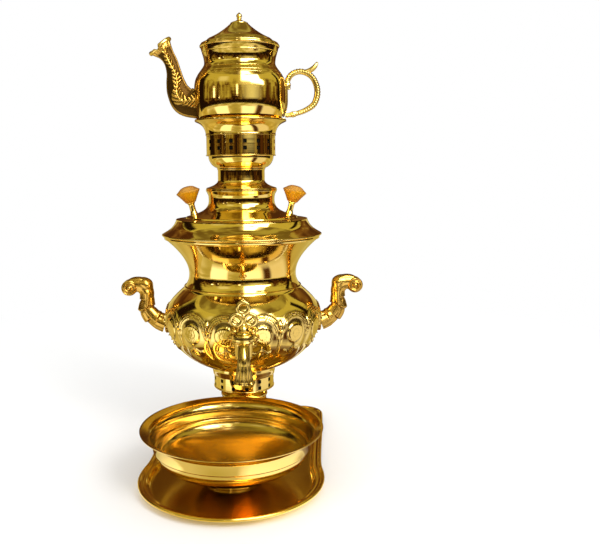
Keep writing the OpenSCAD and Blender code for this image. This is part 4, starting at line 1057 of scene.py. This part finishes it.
pot_z, pot_lip_z = box_mm("teapot")[0].z, box_mm("teapot_neck")[1].z
pot_belly_z = pot_z + 43
pot_neck_z = pot_belly_z + 47
pot_shoulder = (POT_NECK_R + 8, pot_neck_z - 13.5)
pot_line = (
    [(0, pot_z), (POT_BASE_R, pot_z)]
    + bend((POT_BASE_R + 0.3, pot_z + 0.3), (POT_R, pot_belly_z), (0.3, 0.2), (0, 0.5), 30)
    + bend((POT_R, pot_belly_z), pot_shoulder, (0, 0.6), (0.98, 0.26), 30)
    + bend(pot_shoulder, (POT_NECK_R, pot_neck_z), (0.39, 0.35), (0, 0.3), 16)
    + bend((POT_NECK_R, pot_neck_z), (POT_LIP_R - 1.2, pot_lip_z - 3), (0, 0.4), (0.3, 0.35), 16)
    + [(POT_LIP_R, pot_lip_z - 2.4), (POT_LIP_R, pot_lip_z - 0.8), (POT_LIP_R - 0.8, pot_lip_z)])
pot = lathe("teapot_shell", lined(pot_line, [pot_neck_z + z for z in (-16, -12.5, -7, 13)] + [pot_z + 6]), 180)
finished(pot, "teapot", polished, "polished_brass", "teapot", "teapot_neck")

crest_z = box_mm("teapot_lid")[1].z
dome_z = pot_lip_z + 7.5
pot_lid = lathe("teapot_lid_shell", (
    [(DOME_R - 2, pot_lip_z), (POT_LID_R, pot_lip_z), (POT_LID_R, pot_lip_z + 1.4)]
    + bend((POT_LID_R - 1.4, pot_lip_z + 2.2), (DOME_R, dome_z), (0.6, 0.1), (0.4, 0.4), 12)
    + bend((DOME_R, dome_z), (CREST_R, crest_z - 2.6), (0.36, 0.24), (0.3, 0.42), 24)
    + [(CREST_R, crest_z - 1.8)]
    + bend((CREST_R - 0.6, crest_z - 1.6), (6, crest_z), (0.3, 0.5), (0.6, 0.1), 10)
    + [(0, crest_z)]))
finished(pot_lid, "teapot_lid", polished, "polished_brass", "teapot_lid")
lid_guide = revolved("teapot_lid_guide", [(x, pot_lip_z + z) for x, z in (
    (43.2, -7), (44, -7), (44.4, -6.6), (44.4, 0.8), (43.2, 0.8))], 120)
finished(lid_guide, "teapot_lid", polished, "polished_brass", "teapot_lid")

# ---------------------------------------------------------------- side handles
# Castings of old brass: a scroll with its ball, an arm bent through a leafy corner, an upright with
# a pointed leaf, and a flared end on a round plate that is riveted to the belly.

HANDLE = [[152, 39.6, 10.2, 8.2], [145, 42.8, 10.4, 8.6], [136.4, 41.4, 10.6, 8.8], [130.4, 33, 9.8, 8.4],
          [129.5, 24, 8.6, 8], [130.4, 14, 9.4, 8], [129, 6, 10.6, 7.8], [122.5, -2, 10.4, 7.6],
          [115, -7.5, 10.6, 8.4], [109.5, -10, 11.2, 9.4], [106.5, -11, 11.6, 10]]
SCROLL_AT, PLATE_AT = (153, 39), (102.4, -11)  # out from the axis and up from the belly's middle
INNER_OLD = 0.6  # share of old brown inside a hollow casting


def smooth_line(rows, per_span):
    """Catmull-Rom line through the rows."""
    v = np.array(rows, float)
    v = np.vstack([2 * v[0] - v[1], v, 2 * v[-1] - v[-2]])
    out = []
    for a, b, c, d in zip(v, v[1:], v[2:], v[3:]):
        t = np.linspace(0, 1, per_span, endpoint=False)[:, None]
        square, cube = 2 * a - 5 * b + 4 * c - d, 3 * b - a - 3 * c + d
        out.append(0.5 * (2 * b + (c - a) * t + square * t * t + cube * t**3))
    return np.vstack(out + [v[-2][None]])


def swept(name, rows, relief=None, per_span=16, around=72, wall=0.0, flip=False, depth=0.6, reach=(4, 3),
          ground=None):
    """A casting along rows of [x, z, half height, half width], in the plane of the samovar's sides.
    relief gives its height from the way along s and the place across c, -1 to 1, which is the same
    on both faces, and ground adds more dark brown: patina on the spout's ground, painted shade on
    the nozzle's flanks. With a wall it is a tube with open ends."""
    line = smooth_line(rows, per_span)
    centre = line[:, :2]
    step = np.gradient(centre, axis=0)
    step /= np.linalg.norm(step, axis=1)[:, None]
    across = np.stack([-step[:, 1], step[:, 0]], 1) * (-1 if flip else 1)
    s = np.concatenate([[0], np.cumsum(np.linalg.norm(np.diff(centre, axis=0), axis=1))])[:, None]
    a = np.linspace(0, 2 * math.pi, around, endpoint=False)[None]
    c = np.cos(a)
    n = len(s)
    height = np.broadcast_to(relief(s, c) if relief else 0.0, (n, around)).astype(float)
    hx, hy = line[:, 2:3], line[:, 3:4]
    normal = np.stack([np.cos(a) / hx, np.sin(a) / hy])
    normal /= np.linalg.norm(normal, axis=0)

    def placed(u, v):
        x, z = centre[:, :1] + across[:, :1] * u, centre[:, 1:] + across[:, 1:] * u
        return np.stack([x, v, z], 2).reshape(-1, 3)

    points = placed(hx * np.cos(a) + height * normal[0], hy * np.sin(a) + height * normal[1])
    faces = tube_faces(n, around, capped=not wall)
    old = hollow(height, reach, depth)
    if ground:
        old = np.maximum(old, ground(s, c, height))
    old = old.reshape(-1)
    if wall:
        inner = placed((hx - wall) * np.cos(a), (hy - wall) * np.sin(a))
        points = np.vstack([points, inner])
        old = np.concatenate([old, np.full(len(inner), INNER_OLD)])
        faces += [tuple(n * around + k for k in reversed(face)) for face in faces]
        for first in (0, (n - 1) * around):
            for k in range(around):
                p, q = first + k, first + (k + 1) % around
                faces.append((p, q, n * around + q, n * around + p))
    return mesh_piece(name, points, faces, 50, old)


def turned_about(name, outline, place, axis, relief=None, sides=96, depth=0.6, sharp=40):
    """A closed turned piece with a relief: outline from axis to axis, turned about axis at place."""
    side = np.array(outline, float)
    a = np.linspace(0, 2 * math.pi, sides, endpoint=False)
    step = np.gradient(side, axis=0)
    step /= np.linalg.norm(step, axis=1)[:, None] + 1e-9
    height = np.broadcast_to(relief(side[:, :1], side[:, 1:], a[None]) if relief else 0.0, (len(side), sides))
    height = height.astype(float)
    height[0], height[-1] = height[0].mean(), height[-1].mean()
    r = np.clip(side[:, :1] + height * step[:, 1:], 0, None)
    z = side[:, 1:] - height * step[:, :1]
    r[side[:, 0] < 1e-6] = 0
    points = np.stack([r * np.cos(a), r * np.sin(a), z], 2).reshape(-1, 3)
    old = hollow(height, (2, 2), depth).reshape(-1)
    made = mesh_piece(name, points, tube_faces(len(side), sides), sharp, old)
    aim = Vector(axis).to_track_quat("Z", "Y").to_matrix().to_4x4()
    made.data.transform(Matrix.Translation(Vector(place) * mm) @ aim)
    return made


def dense(outline, gap=0.5):
    """The outline with points no further apart than gap."""
    out = [np.array(outline[0], float)]
    for p, q in zip(outline, outline[1:]):
        p, q = np.array(p, float), np.array(q, float)
        n = max(1, int(np.linalg.norm(q - p) / gap))
        out += [p + (q - p) * k / n for k in range(1, n + 1)]
    return out


def lobe(s, c, first, last, side, high):
    """A full lobe on one side of the arm, with a step at its end."""
    t = share((s - first) / (last - first))
    return high * t**0.8 * share((1 - t) * 7) ** 0.7 * share(1 - ((c - side) / 0.95) ** 2) ** 0.8


def handle_relief(s, c):
    """Edge beads and a ball at the scroll, a leaf on the upright, and lobes round the corner."""
    h = 0.9 * bump(c + 0.80, 0.25) * share((26 - s) / 6) + 0.7 * bump(c - 0.75, 0.25) * share((24 - s) / 6)
    h = np.maximum(h, 3.2 * bump(s - 20, 7.5) * share(1 - ((c + 0.95) / 0.9) ** 2))
    end = 50 - 9 * np.abs(c) / 0.6
    h = np.maximum(h, 2.0 * bump(c, 0.62) ** 0.7 * share((s - 20) / 8) * share(end - s))
    for first, last, side, high in ((26, 39, 1.0, 2.6), (39, 52, 1.0, 3.4), (52, 64, 1.0, 3.2),
                                    (34, 46, -1.0, 2.2), (50, 72, -0.5, 2.0)):
        h = np.maximum(h, lobe(s, c, first, last, side, high))
    h = h + 0.35 * bump(c - 0.1, 0.12) * share((s - 52) / 4)
    return h + share((s - 64) / 10) * 1.6 * np.abs(np.cos(2.0 * np.arccos(np.clip(c, -1, 1)))) ** 0.6


def volute(r, z, a):
    """Spiral on both ends of the scroll."""
    turn = (r / 10.5 * 1.9 + a / (2 * math.pi) * np.sign(z)) % 1.0
    ball = share(1 - (r / 3.2) ** 2) ** 0.5 * 2.6
    spiral = 1.6 * bump(turn - 0.5, 0.42) * share((10 - r) / 1.5)
    return np.where((np.abs(z) > 7.9) & (r < 10), np.where(r < 3.2, ball, spiral), 0.0)


def fluted_edge(r, z, a):
    return np.where(r > 8.5, 0.9 * np.abs(np.sin(a * 6)) ** 0.7 - 0.5, 0.0)


cast = brass("leaf brass", 0.20, grain=0.03, brown=1.0)
old_cast = brass("old cast brass", 0.24, grain=0.02, brown=1.0,
                 pale=(0.70, 0.43, 0.09, 1), deep=(0.54, 0.27, 0.03, 1))
tap_cast = brass("tap brass", 0.18, grain=0.02, brown=1.0,
                 pale=(0.84, 0.58, 0.15, 1), deep=(0.70, 0.41, 0.06, 1))

scroll_side = dense([(0.001, -8.5), (9.2, -8.5), (10.2, -7.9), (10.5, -6.8), (10.5, 6.8), (10.2, 7.9),
                     (9.2, 8.5), (0.001, 8.5)], 0.4)
plate_side = dense([(0.001, -1.5), (13, -1.5), (13, 2.6), (12.2, 3.6), (9, 4.0), (0.001, 4.0)])
for side, node in ((1, "handle_right"), (-1, "handle_left")):
    rows = [[side * x, belly_z + z, hx, hy] for x, z, hx, hy in HANDLE]
    arm = swept(node + "_arm", rows, handle_relief, per_span=26, around=96, flip=side < 0, depth=1.1)
    finished(arm, "urn", old_cast, "cast_brass", node)
    scroll = turned_about(node + "_scroll", scroll_side, (side * SCROLL_AT[0], 0, belly_z + SCROLL_AT[1]),
                          (0, side, 0), volute, depth=0.7)
    finished(scroll, "urn", old_cast, "cast_brass", node)
    plate = turned_about(node + "_plate", plate_side, (side * PLATE_AT[0], 0, belly_z + PLATE_AT[1]),
                         (side, 0, 0), fluted_edge)
    finished(plate, "urn", old_cast, "cast_brass", "handle_plates")

# ---------------------------------------------------------------- tap
# Rosette of leaves on the belly, a shank and a fluted barrel with a volute on each side, a nozzle
# with a ridge and a leafy foot, and the plug with its key of three rings.

TAP_OUT = 150
CAP_Z, TAIL_Z = 175.7, 175.5
NOZZLE = [[TAP_OUT, 157.3, 8, 7], [161, 156.3, 7.5, 7], [169, 147.3, 7, 7], [170, 135.3, 7.5, 8.0],
          [170, 124, 7.8, 8.6], [170, 119.3, 9, 10.5]]
KEY_RINGS = ((-8.2, 188.7), (8.2, 188.7), (0, 202.9))
KEY_WEB = [[0, 180.5, 4.4, 2.2], [0, 184, 3.2, 2.1], [0, 188, 2.2, 1.9], [0, 192, 2.6, 2.0], [0, 196, 3.4, 1.9]]
KEY_BEADS = ((0, 182.2, 3.4), (0, 193.6, 3.2), (-1.7, 211.3, 1.5), (1.7, 211.3, 1.5), (0, 212.6, 1.3))
tap_z = belly_z - 8


def rosette_relief(r, z, a):
    rim = share((r - 6) / 8)
    petals = np.abs(np.cos(a * 5)) ** 0.8
    ribs = np.abs(np.sin(a * 25)) ** 0.6
    return np.where(z > 1, rim * (3.2 * petals - 0.6 + 0.7 * ribs * petals), 3.4 * petals * rim - 0.6 * rim)


def shank_relief(r, z, a):
    return np.where(np.abs(z - 24.5) < 2.4, 0.5 * np.abs(np.sin(a * 9)), 0.0)


def barrel_relief(r, z, a):
    """Flutes in front, and a volute on each side of them."""
    head = share((z - 8) / 2) * share((14 - z) / 1.5)
    front = np.abs(((a + math.pi / 2 + math.pi) % (2 * math.pi)) - math.pi)
    carved = np.where(front < 0.62, 1.1 * np.abs(np.cos(front * 7.6)) ** 0.7, 0.0)
    for side in (-1, 1):
        x = 13.5 * (((a + math.pi / 2 - side * 0.98 + math.pi) % (2 * math.pi)) - math.pi)
        y = z - 11
        away, about = np.hypot(x, y), np.arctan2(y, -side * x)
        spiral = bump(((away / 2.9 - about / (2 * math.pi)) % 1.0) - 0.5, 0.4)
        scroll_work = 1.5 * spiral * share((4.2 - away) / 0.6) + 0.9 * bump(away, 1.3)
        carved = carved + np.where(away < 4.2, scroll_work, 0.0)
    return head * carved - 0.4 * head


def nozzle_relief(s, c):
    ridge = 1.3 * bump(c - 1.0, 0.16) * share((s - 8) / 6) * share((52 - s) / 4)
    ribs = np.abs(np.sin(np.arccos(np.clip(c, -1, 1)) * 5)) ** 0.7
    return ridge + share((s - 30) / 20) * (0.7 + 1.6 * ribs)


def nozzle_flank_shade(s, c, height):
    """Painted shade in dark brown along the nozzle's flanks, up to its ridge."""
    return 0.7 * share((0.72 - c) / 0.35) * share((s - 4) / 6)


def key_ring(name, x, z, across=6.6, thick=2.5, wide=2.35, flat=0.8):
    """A rounded ring in the plane of the key, with painted shade in dark brown along its inner and outer edge.
    """
    points, old = [], []
    for t in np.linspace(0, 2 * math.pi, 64, endpoint=False):
        for q in np.linspace(0, 2 * math.pi, 20, endpoint=False):
            # Painted shade along the ring's inner and outer edges.
            old.append(0.95 * min(1, max(0, (abs(math.cos(q)) - 0.52) / 0.22)))
            cq, sq = (math.copysign(abs(w) ** flat, w) for w in (math.cos(q), math.sin(q)))
            r = across + wide * cq
            points.append((x + r * math.cos(t), -TAP_OUT + thick * sq, z + r * math.sin(t)))
    return mesh_piece(name, points, tube_faces(64, 20, closed=True), 60, old)


rosette = turned_about("tap_rosette_leaves", dense([
    (0.001, 0), (15.6, 0), (16.4, 1.5), (16.6, 4), (15.8, 6.6), (13.6, 8.4), (11, 9.4), (10, 10.6), (8.5, 11.4),
    (0.001, 11.4)], 0.4), (0, -101, tap_z), (0, -1, 0), rosette_relief, sides=200, depth=0.9)
finished(rosette, "urn", tap_cast, "cast_brass", "tap_rosette")
shank = turned_about("tap_shank", dense([
    (0.001, 0), (8, 0), (8, 21.5), (9, 22), (10, 22.6), (10.2, 24.4), (10, 26.2), (9, 27), (8, 27.6), (8, 37),
    (0.001, 37)]), (0, -112, tap_z), (0, -1, 0), shank_relief)
finished(shank, "urn", tap_cast, "cast_brass", "tap_body")
barrel = turned_about("tap_barrel", dense([
    (0.001, -15), (8.4, -15), (9, -14.4), (9.4, -12.6), (10, -11.4), (10.4, 2), (11, 4.4), (12.6, 5.6),
    (13.4, 6.0), (13.6, 6.8), (13.2, 7.6), (13.2, 8), (13.6, 10), (13.2, 12.6), (12.2, 14.4), (11, 15.2),
    (0.001, 15.2)], 0.35),
    (0, -TAP_OUT, tap_z), (0, 0, 1), barrel_relief, sides=240, depth=0.8, sharp=60)
finished(barrel, "urn", tap_cast, "cast_brass", "tap_body")
nozzle = swept("tap_nozzle", NOZZLE, nozzle_relief, per_span=22, around=120, wall=3.2, depth=0.8,
               ground=nozzle_flank_shade)
nozzle.data.transform(Matrix.Rotation(-math.pi / 2, 4, "Z"))
finished(nozzle, "urn", tap_cast, "cast_brass", "tap_body")

cap = turned_about("tap_cap", dense([
    (0.001, -2.7), (10.2, -2.7), (10.4, -2.2), (9.6, -1.2), (8.6, -0.4), (6.4, 0.4), (6.2, 1.2), (5.6, 3.6),
    (4.4, 5.6), (3.4, 6.4), (0.001, 6.4)]), (0, -TAP_OUT, CAP_Z), (0, 0, 1), sides=64)
finished(cap, "tap_key", turned, "turned_brass")
tail = turned_about("tap_tail", dense([
    (0.001, -39), (2.6, -39), (3, -38.6), (3, -35), (3.2, -34), (7.4, -34), (7.8, -10), (7.9, -2.8),
    (0.001, -2.8)], 2),
    (0, -TAP_OUT, TAIL_Z), (0, 0, 1), sides=48)
finished(tail, "tap_key", turned, "turned_brass", "tap_plug")
for i, (x, z) in enumerate(KEY_RINGS):
    finished(key_ring(f"key_ring_{i}", x, z), "tap_key", plain_cast, "cast_brass", "tap_key")
web = swept("key_web", KEY_WEB, None, 8, 40)
moved(web, 0, -TAP_OUT, 0)
finished(web, "tap_key", plain_cast, "cast_brass")
for i, (x, z, r) in enumerate(KEY_BEADS):
    ball = arc((0, 0), r, np.linspace(-90, 90, 13))
    bead = turned_about(f"key_bead_{i}", ball, (x, -TAP_OUT, z), (0, 0, 1), sides=24)
    finished(bead, "tap_key", plain_cast, "cast_brass")

# ---------------------------------------------------------------- knobs
# Amber lacquered wood on turned brass stems that lean outwards.

KNOB_OUT, KNOB_FOOT_Z = 64, 302.9
KNOB_LEAN = math.radians(14)
AMBER_SHADE_BELOW = (318, 328)  # painted shade: the wood is darkest at its foot
AMBER_HIGHLIGHT_ABOVE = (331, 334)  # and a painted highlight makes it palest on its crest


def amber_wood():
    paint, mat = new_kit("amber wood")
    place = mat.node("Mapping", None, {"Vector": mat.place(), "Scale": (1.0, 1.0, 2.2)})
    cloud = mat.node("TexNoise", None, {"Vector": place, "Scale": 70.0, "Detail": 4.0, "Distortion": 0.6})
    band = mat.node("TexNoise", None, {"Vector": place, "Scale": 260.0, "Detail": 2.0})
    # Painted shade on the knob's edges, where they turn away from the view.
    facing = mat.node("LayerWeight", None, {"Blend": 0.5}, out=1)
    height = mat.height(mat.place())
    colour = (0.58, 0.23, 0.001, 1)
    # cloud and band are the wood's own figure; the foot is painted shade and the crest a painted highlight.
    for what, low, high, first, last, tone in (
            (cloud, 0.3, 0.7, 0.0, 1.0, (0.72, 0.36, 0.004, 1)),
            (height, *(z * mm for z in AMBER_SHADE_BELOW), 0.7, 0.0, (0.30, 0.07, 0.001, 1)),
            (height, *(z * mm for z in AMBER_HIGHLIGHT_ABOVE), 0.0, 0.6, (0.66, 0.36, 0.09, 1)),
            (facing, 0.35, 0.95, 0.0, 0.8, (0.20, 0.045, 0.002, 1)),
            (band, 0.35, 0.75, 0.0, 0.25, (0.42, 0.10, 0.004, 1))):
        colour = mat.mix(mat.node("MapRange", None, [what, low, high, first, last]), colour, tone)
    mat.finish(mat.node("BsdfPrincipled", None, {
        "Base Color": colour, "Roughness": 0.40, "Specular IOR Level": 0.12, "Coat Weight": 0.12,
        "Coat Roughness": 0.15,
        "Normal": mat.node("Bump", None, {"Height": band, "Distance": 0.02 * mm})}))
    return paint


amber = amber_wood()
pale_turned = brass("pale turned brass", 0.10, spin=0.015)
for side in (-1, 1):
    foot_at = (side * KNOB_OUT, 0, KNOB_FOOT_Z)
    way = (side * math.sin(KNOB_LEAN), 0, math.cos(KNOB_LEAN))
    stem = turned_about(f"stem_{side}", dense([
        (0.001, -5), (5.4, -5), (5.3, -0.6), (5.0, 0.4), (4.3, 2.4), (4.0, 4), (3.9, 11), (4.2, 13),
        (5.2, 14.4), (5.4, 15.4), (0.001, 15.6)]), foot_at, way, sides=64)
    finished(stem, "lid", pale_turned, "turned_brass", "knob_stems")
    knob = turned_about(f"knob_{side}", dense(
        [(0.001, 15.5), (6.4, 15.5), (7.0, 15.9)]
        + bend((7.2, 16.3), (15.0, 28.4), (0.3, 0.36), (0.3, 0.26), 20)
        + [(15.9, 29.8), (15.9, 30.6), (15.3, 31.2)]
        + bend((14.6, 31.6), (0.001, 37.6), (0.35, 0.6), (0.6, 0), 16)),
        foot_at, way, sides=96)
    finished(knob, "lid", amber, "amber_wood", "lid_knobs")

# ---------------------------------------------------------------- teapot's castings
# A hollow spout with a vine of combed leaves on each face and a forked mouth, and a roped loop
# with a thumb rest, held off the belly by an upright plate. The finial is turned.

SPOUT = [[47.2, -6, 17.5, 10.5], [58.2, -4, 18.6, 11], [72.2, 0, 18.6, 10], [80.2, 11, 15.4, 9.2],
         [83.7, 23, 12.4, 8], [85.7, 36, 9.6, 6.8], [89.2, 49, 8.8, 6.4], [95.2, 59.5, 10.2, 7.4],
         [102.7, 69, 16, 10.5]]
LOOP = [[63.2, 464.7, 3.2, 4], [62, 473.7, 3.4, 4], [66.6, 482.7, 3.4, 4.2], [75.6, 487.1, 3.4, 4.2],
        [85.6, 486.1, 3.4, 4.2], [94.6, 480.2, 3.4, 4.2], [100.1, 469.7, 3.6, 4.4], [101.1, 457.7, 3.8, 4.4],
        [96.6, 445.7, 3.6, 4.2], [85.6, 438.2, 3.2, 3.8], [72.6, 433.7, 2.8, 3.4], [62.6, 431.9, 2.6, 3.2],
        [59.2, 431.6, 2.6, 3.2]]
THUMB = [[84.6, 486.5, 2.8, 3.4], [90, 488.4, 2.8, 3.4], [94.6, 490.7, 2.9, 3.6], [98.4, 494.2, 2.5, 3.4],
         [100.6, 497.7, 1.7, 2.6], [101.0, 499.6, 0.8, 1.4]]
STRAP_LOW, STRAP_HIGH = 429.2, 477.2
FINIAL_Z = 550.4
LIP_THICK, LIP_LONG = 1.5, 2.3


def spout_relief(s, c):
    """A vine with combed leaves along the middle of each face, between plain edges."""
    wide = np.interp(s, [0, 25, 45, 60, 80, 100], [17, 18, 13, 10, 9, 12])
    away = c * wide - 0.22 * np.sin(2 * math.pi * s / 46) * wide
    off = np.abs(away)
    reach = wide * (0.30 + 0.26 * np.abs(np.sin(math.pi * s / 23)))
    comb = np.abs(np.sin(math.pi * (s / 5.2 - off / 5.4))) ** 1.3
    h = np.maximum(1.7 * bump(away, 1.7), 1.5 * comb * share((reach - off) / 1.2) * share(off / 1.5))
    return share((s - 7) / 5) * share((100 - s) / 5) * h + 0.8 * bump(np.abs(c) - 0.90, 0.12)


def spout_ground(s, c, height):
    """Old brown between the leaves, and along the edges of the face."""
    between = share((0.95 - height) / 0.45) * (1 - 0.4 * share((np.abs(c) - 0.84) / 0.08))
    return 0.95 * between * share((98 - s) / 4)


def loop_relief(s, c):
    """Rope ribs on the outer side and a bead along the inner one."""
    rope = 0.75 * np.abs(np.sin(math.pi * (s / 3.2 + 0.35 * c))) ** 0.8 * share((c + 0.1) / 0.3)
    return rope + 0.35 * bump(c + 0.6, 0.3) + 1.3 * bump(s - 6, 5) + 0.9 * bump(s - 118, 5)


def thumb_relief(s, c):
    return 0.4 * np.abs(np.cos(3 * np.arccos(np.clip(c, -1, 1)))) + 0 * s


spout = swept("teapot_spout_cast", [[-x, pot_belly_z + z, hx, hy] for x, z, hx, hy in SPOUT], spout_relief,
              per_span=26, around=128, wall=2.0, flip=True, depth=0.45, reach=(7, 6), ground=spout_ground)
finished(spout, "teapot", old_cast, "cast_brass", "teapot_spout")

end_out, end_up, end_h, end_w = SPOUT[-1]
tip = np.array([end_out - SPOUT[-2][0], end_up - SPOUT[-2][1]], float)
tip /= np.linalg.norm(tip)
mouth_at = np.array((-end_out, pot_belly_z + end_up))
mouth_way, mouth_up = np.array((-tip[0], tip[1])), np.array((tip[1], tip[0]))


def fork_mouth(piece):
    """Cuts the mouth back on both sides, which leaves a rolled upper lip and a pointed lower one."""
    for vertex in piece.data.vertices:
        at = np.array((vertex.co.x, vertex.co.z)) / mm - mouth_at
        ahead, up = at @ mouth_way, at @ mouth_up / end_h
        near = min(1, max(0, 1 + ahead / 9))
        cut = 4.6 * max(0, 1 - ((up + 0.30) / 0.26) ** 2) ** 2 + 1.5 * max(0, 1 - ((up + 0.62) / 0.3) ** 2)
        vertex.co.x -= near * cut * mouth_way[0] * mm
        vertex.co.z -= near * cut * mouth_way[1] * mm


points = []
for t in np.linspace(0, 2 * math.pi, 96, endpoint=False):
    out = np.array([math.cos(t) / end_h, math.sin(t) / end_w])
    out /= np.linalg.norm(out)
    for q in np.linspace(0, 2 * math.pi, 16, endpoint=False):
        u = (end_h + 0.2) * math.cos(t) + out[0] * LIP_THICK * math.cos(q)
        v = (end_w + 0.2) * math.sin(t) + out[1] * LIP_THICK * math.cos(q)
        x, z = mouth_at - u * mouth_up + LIP_LONG * math.sin(q) * mouth_way
        points.append((x, v, z))
spout_lip = mesh_piece("spout_lip", points, tube_faces(96, 16, closed=True), 60)
fork_mouth(spout)
fork_mouth(spout_lip)
finished(spout_lip, "teapot", plain_cast, "cast_brass")

loop = swept("teapot_handle_loop", LOOP, loop_relief, per_span=30, around=48, depth=0.5)
finished(loop, "teapot", cast, "cast_brass", "teapot_handle")
thumb = swept("teapot_thumb", THUMB, thumb_relief, per_span=12, around=40, flip=True, depth=0.4)
finished(thumb, "teapot", cast, "cast_brass")

belly_side = np.array(spread([p for p in pot_line if STRAP_LOW < p[1] < STRAP_HIGH], 0.8))
points = []
for (x1, z1), (x2, z2) in zip(beside(belly_side, -2.2), beside(belly_side, -0.25)):
    points += [(x2, -5.5, z2), (x1 - 0.5, -5.5, z1), (x1, -4.9, z1)]
    points += [(x1, 4.9, z1), (x1 - 0.5, 5.5, z1), (x2, 5.5, z2)]
strap = mesh_piece("strap_plate", points, tube_faces(len(belly_side), 6, capped=True), 30)
finished(strap, "teapot", polished, "polished_brass", "handle_strap")

finial = turned_about("teapot_finial_turned", dense(
    [(0.001, 0), (5.4, 0), (5.5, 0.5), (5.2, 0.9)] + bend((4.8, 1.2), (2.6, 3.6), (0.7, 0.2), (0, 0.5), 8)
    + [(2.7, 3.8), (3.3, 4.1), (3.3, 4.6), (2.8, 4.9)] + bend((2.8, 5.0), (3.7, 6.6), (0.2, 0.2), (0, 0.4), 6)
    + bend((3.7, 6.9), (0.001, 12.1), (0, 0.6), (0.35, 0.5), 14), 0.3), (0, 0, FINIAL_Z), (0, 0, 1), sides=64)
finished(finial, "teapot_lid", pale_turned, "turned_brass", "teapot_finial")

# ---------------------------------------------------------------- pieces that keep their CAD shape
# The smoked fire tube, the iron grate, the rubber gasket, and turned nuts, washers and rivets, most
# of them out of sight inside the urn and the lid.

OTHER = {"fire_tube": smoked, "ash_grate": plain("grate iron", (0.09, 0.08, 0.08), 0.75, 0.8),
         "tap_gasket": plain("gasket rubber", (0.05, 0.05, 0.05), 0.8, 0.0)}
for name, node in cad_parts.items():
    node.data.materials.clear()
    node.data.materials.append(OTHER.get(name, turned))
    node.data.shade_smooth()

low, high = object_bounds()
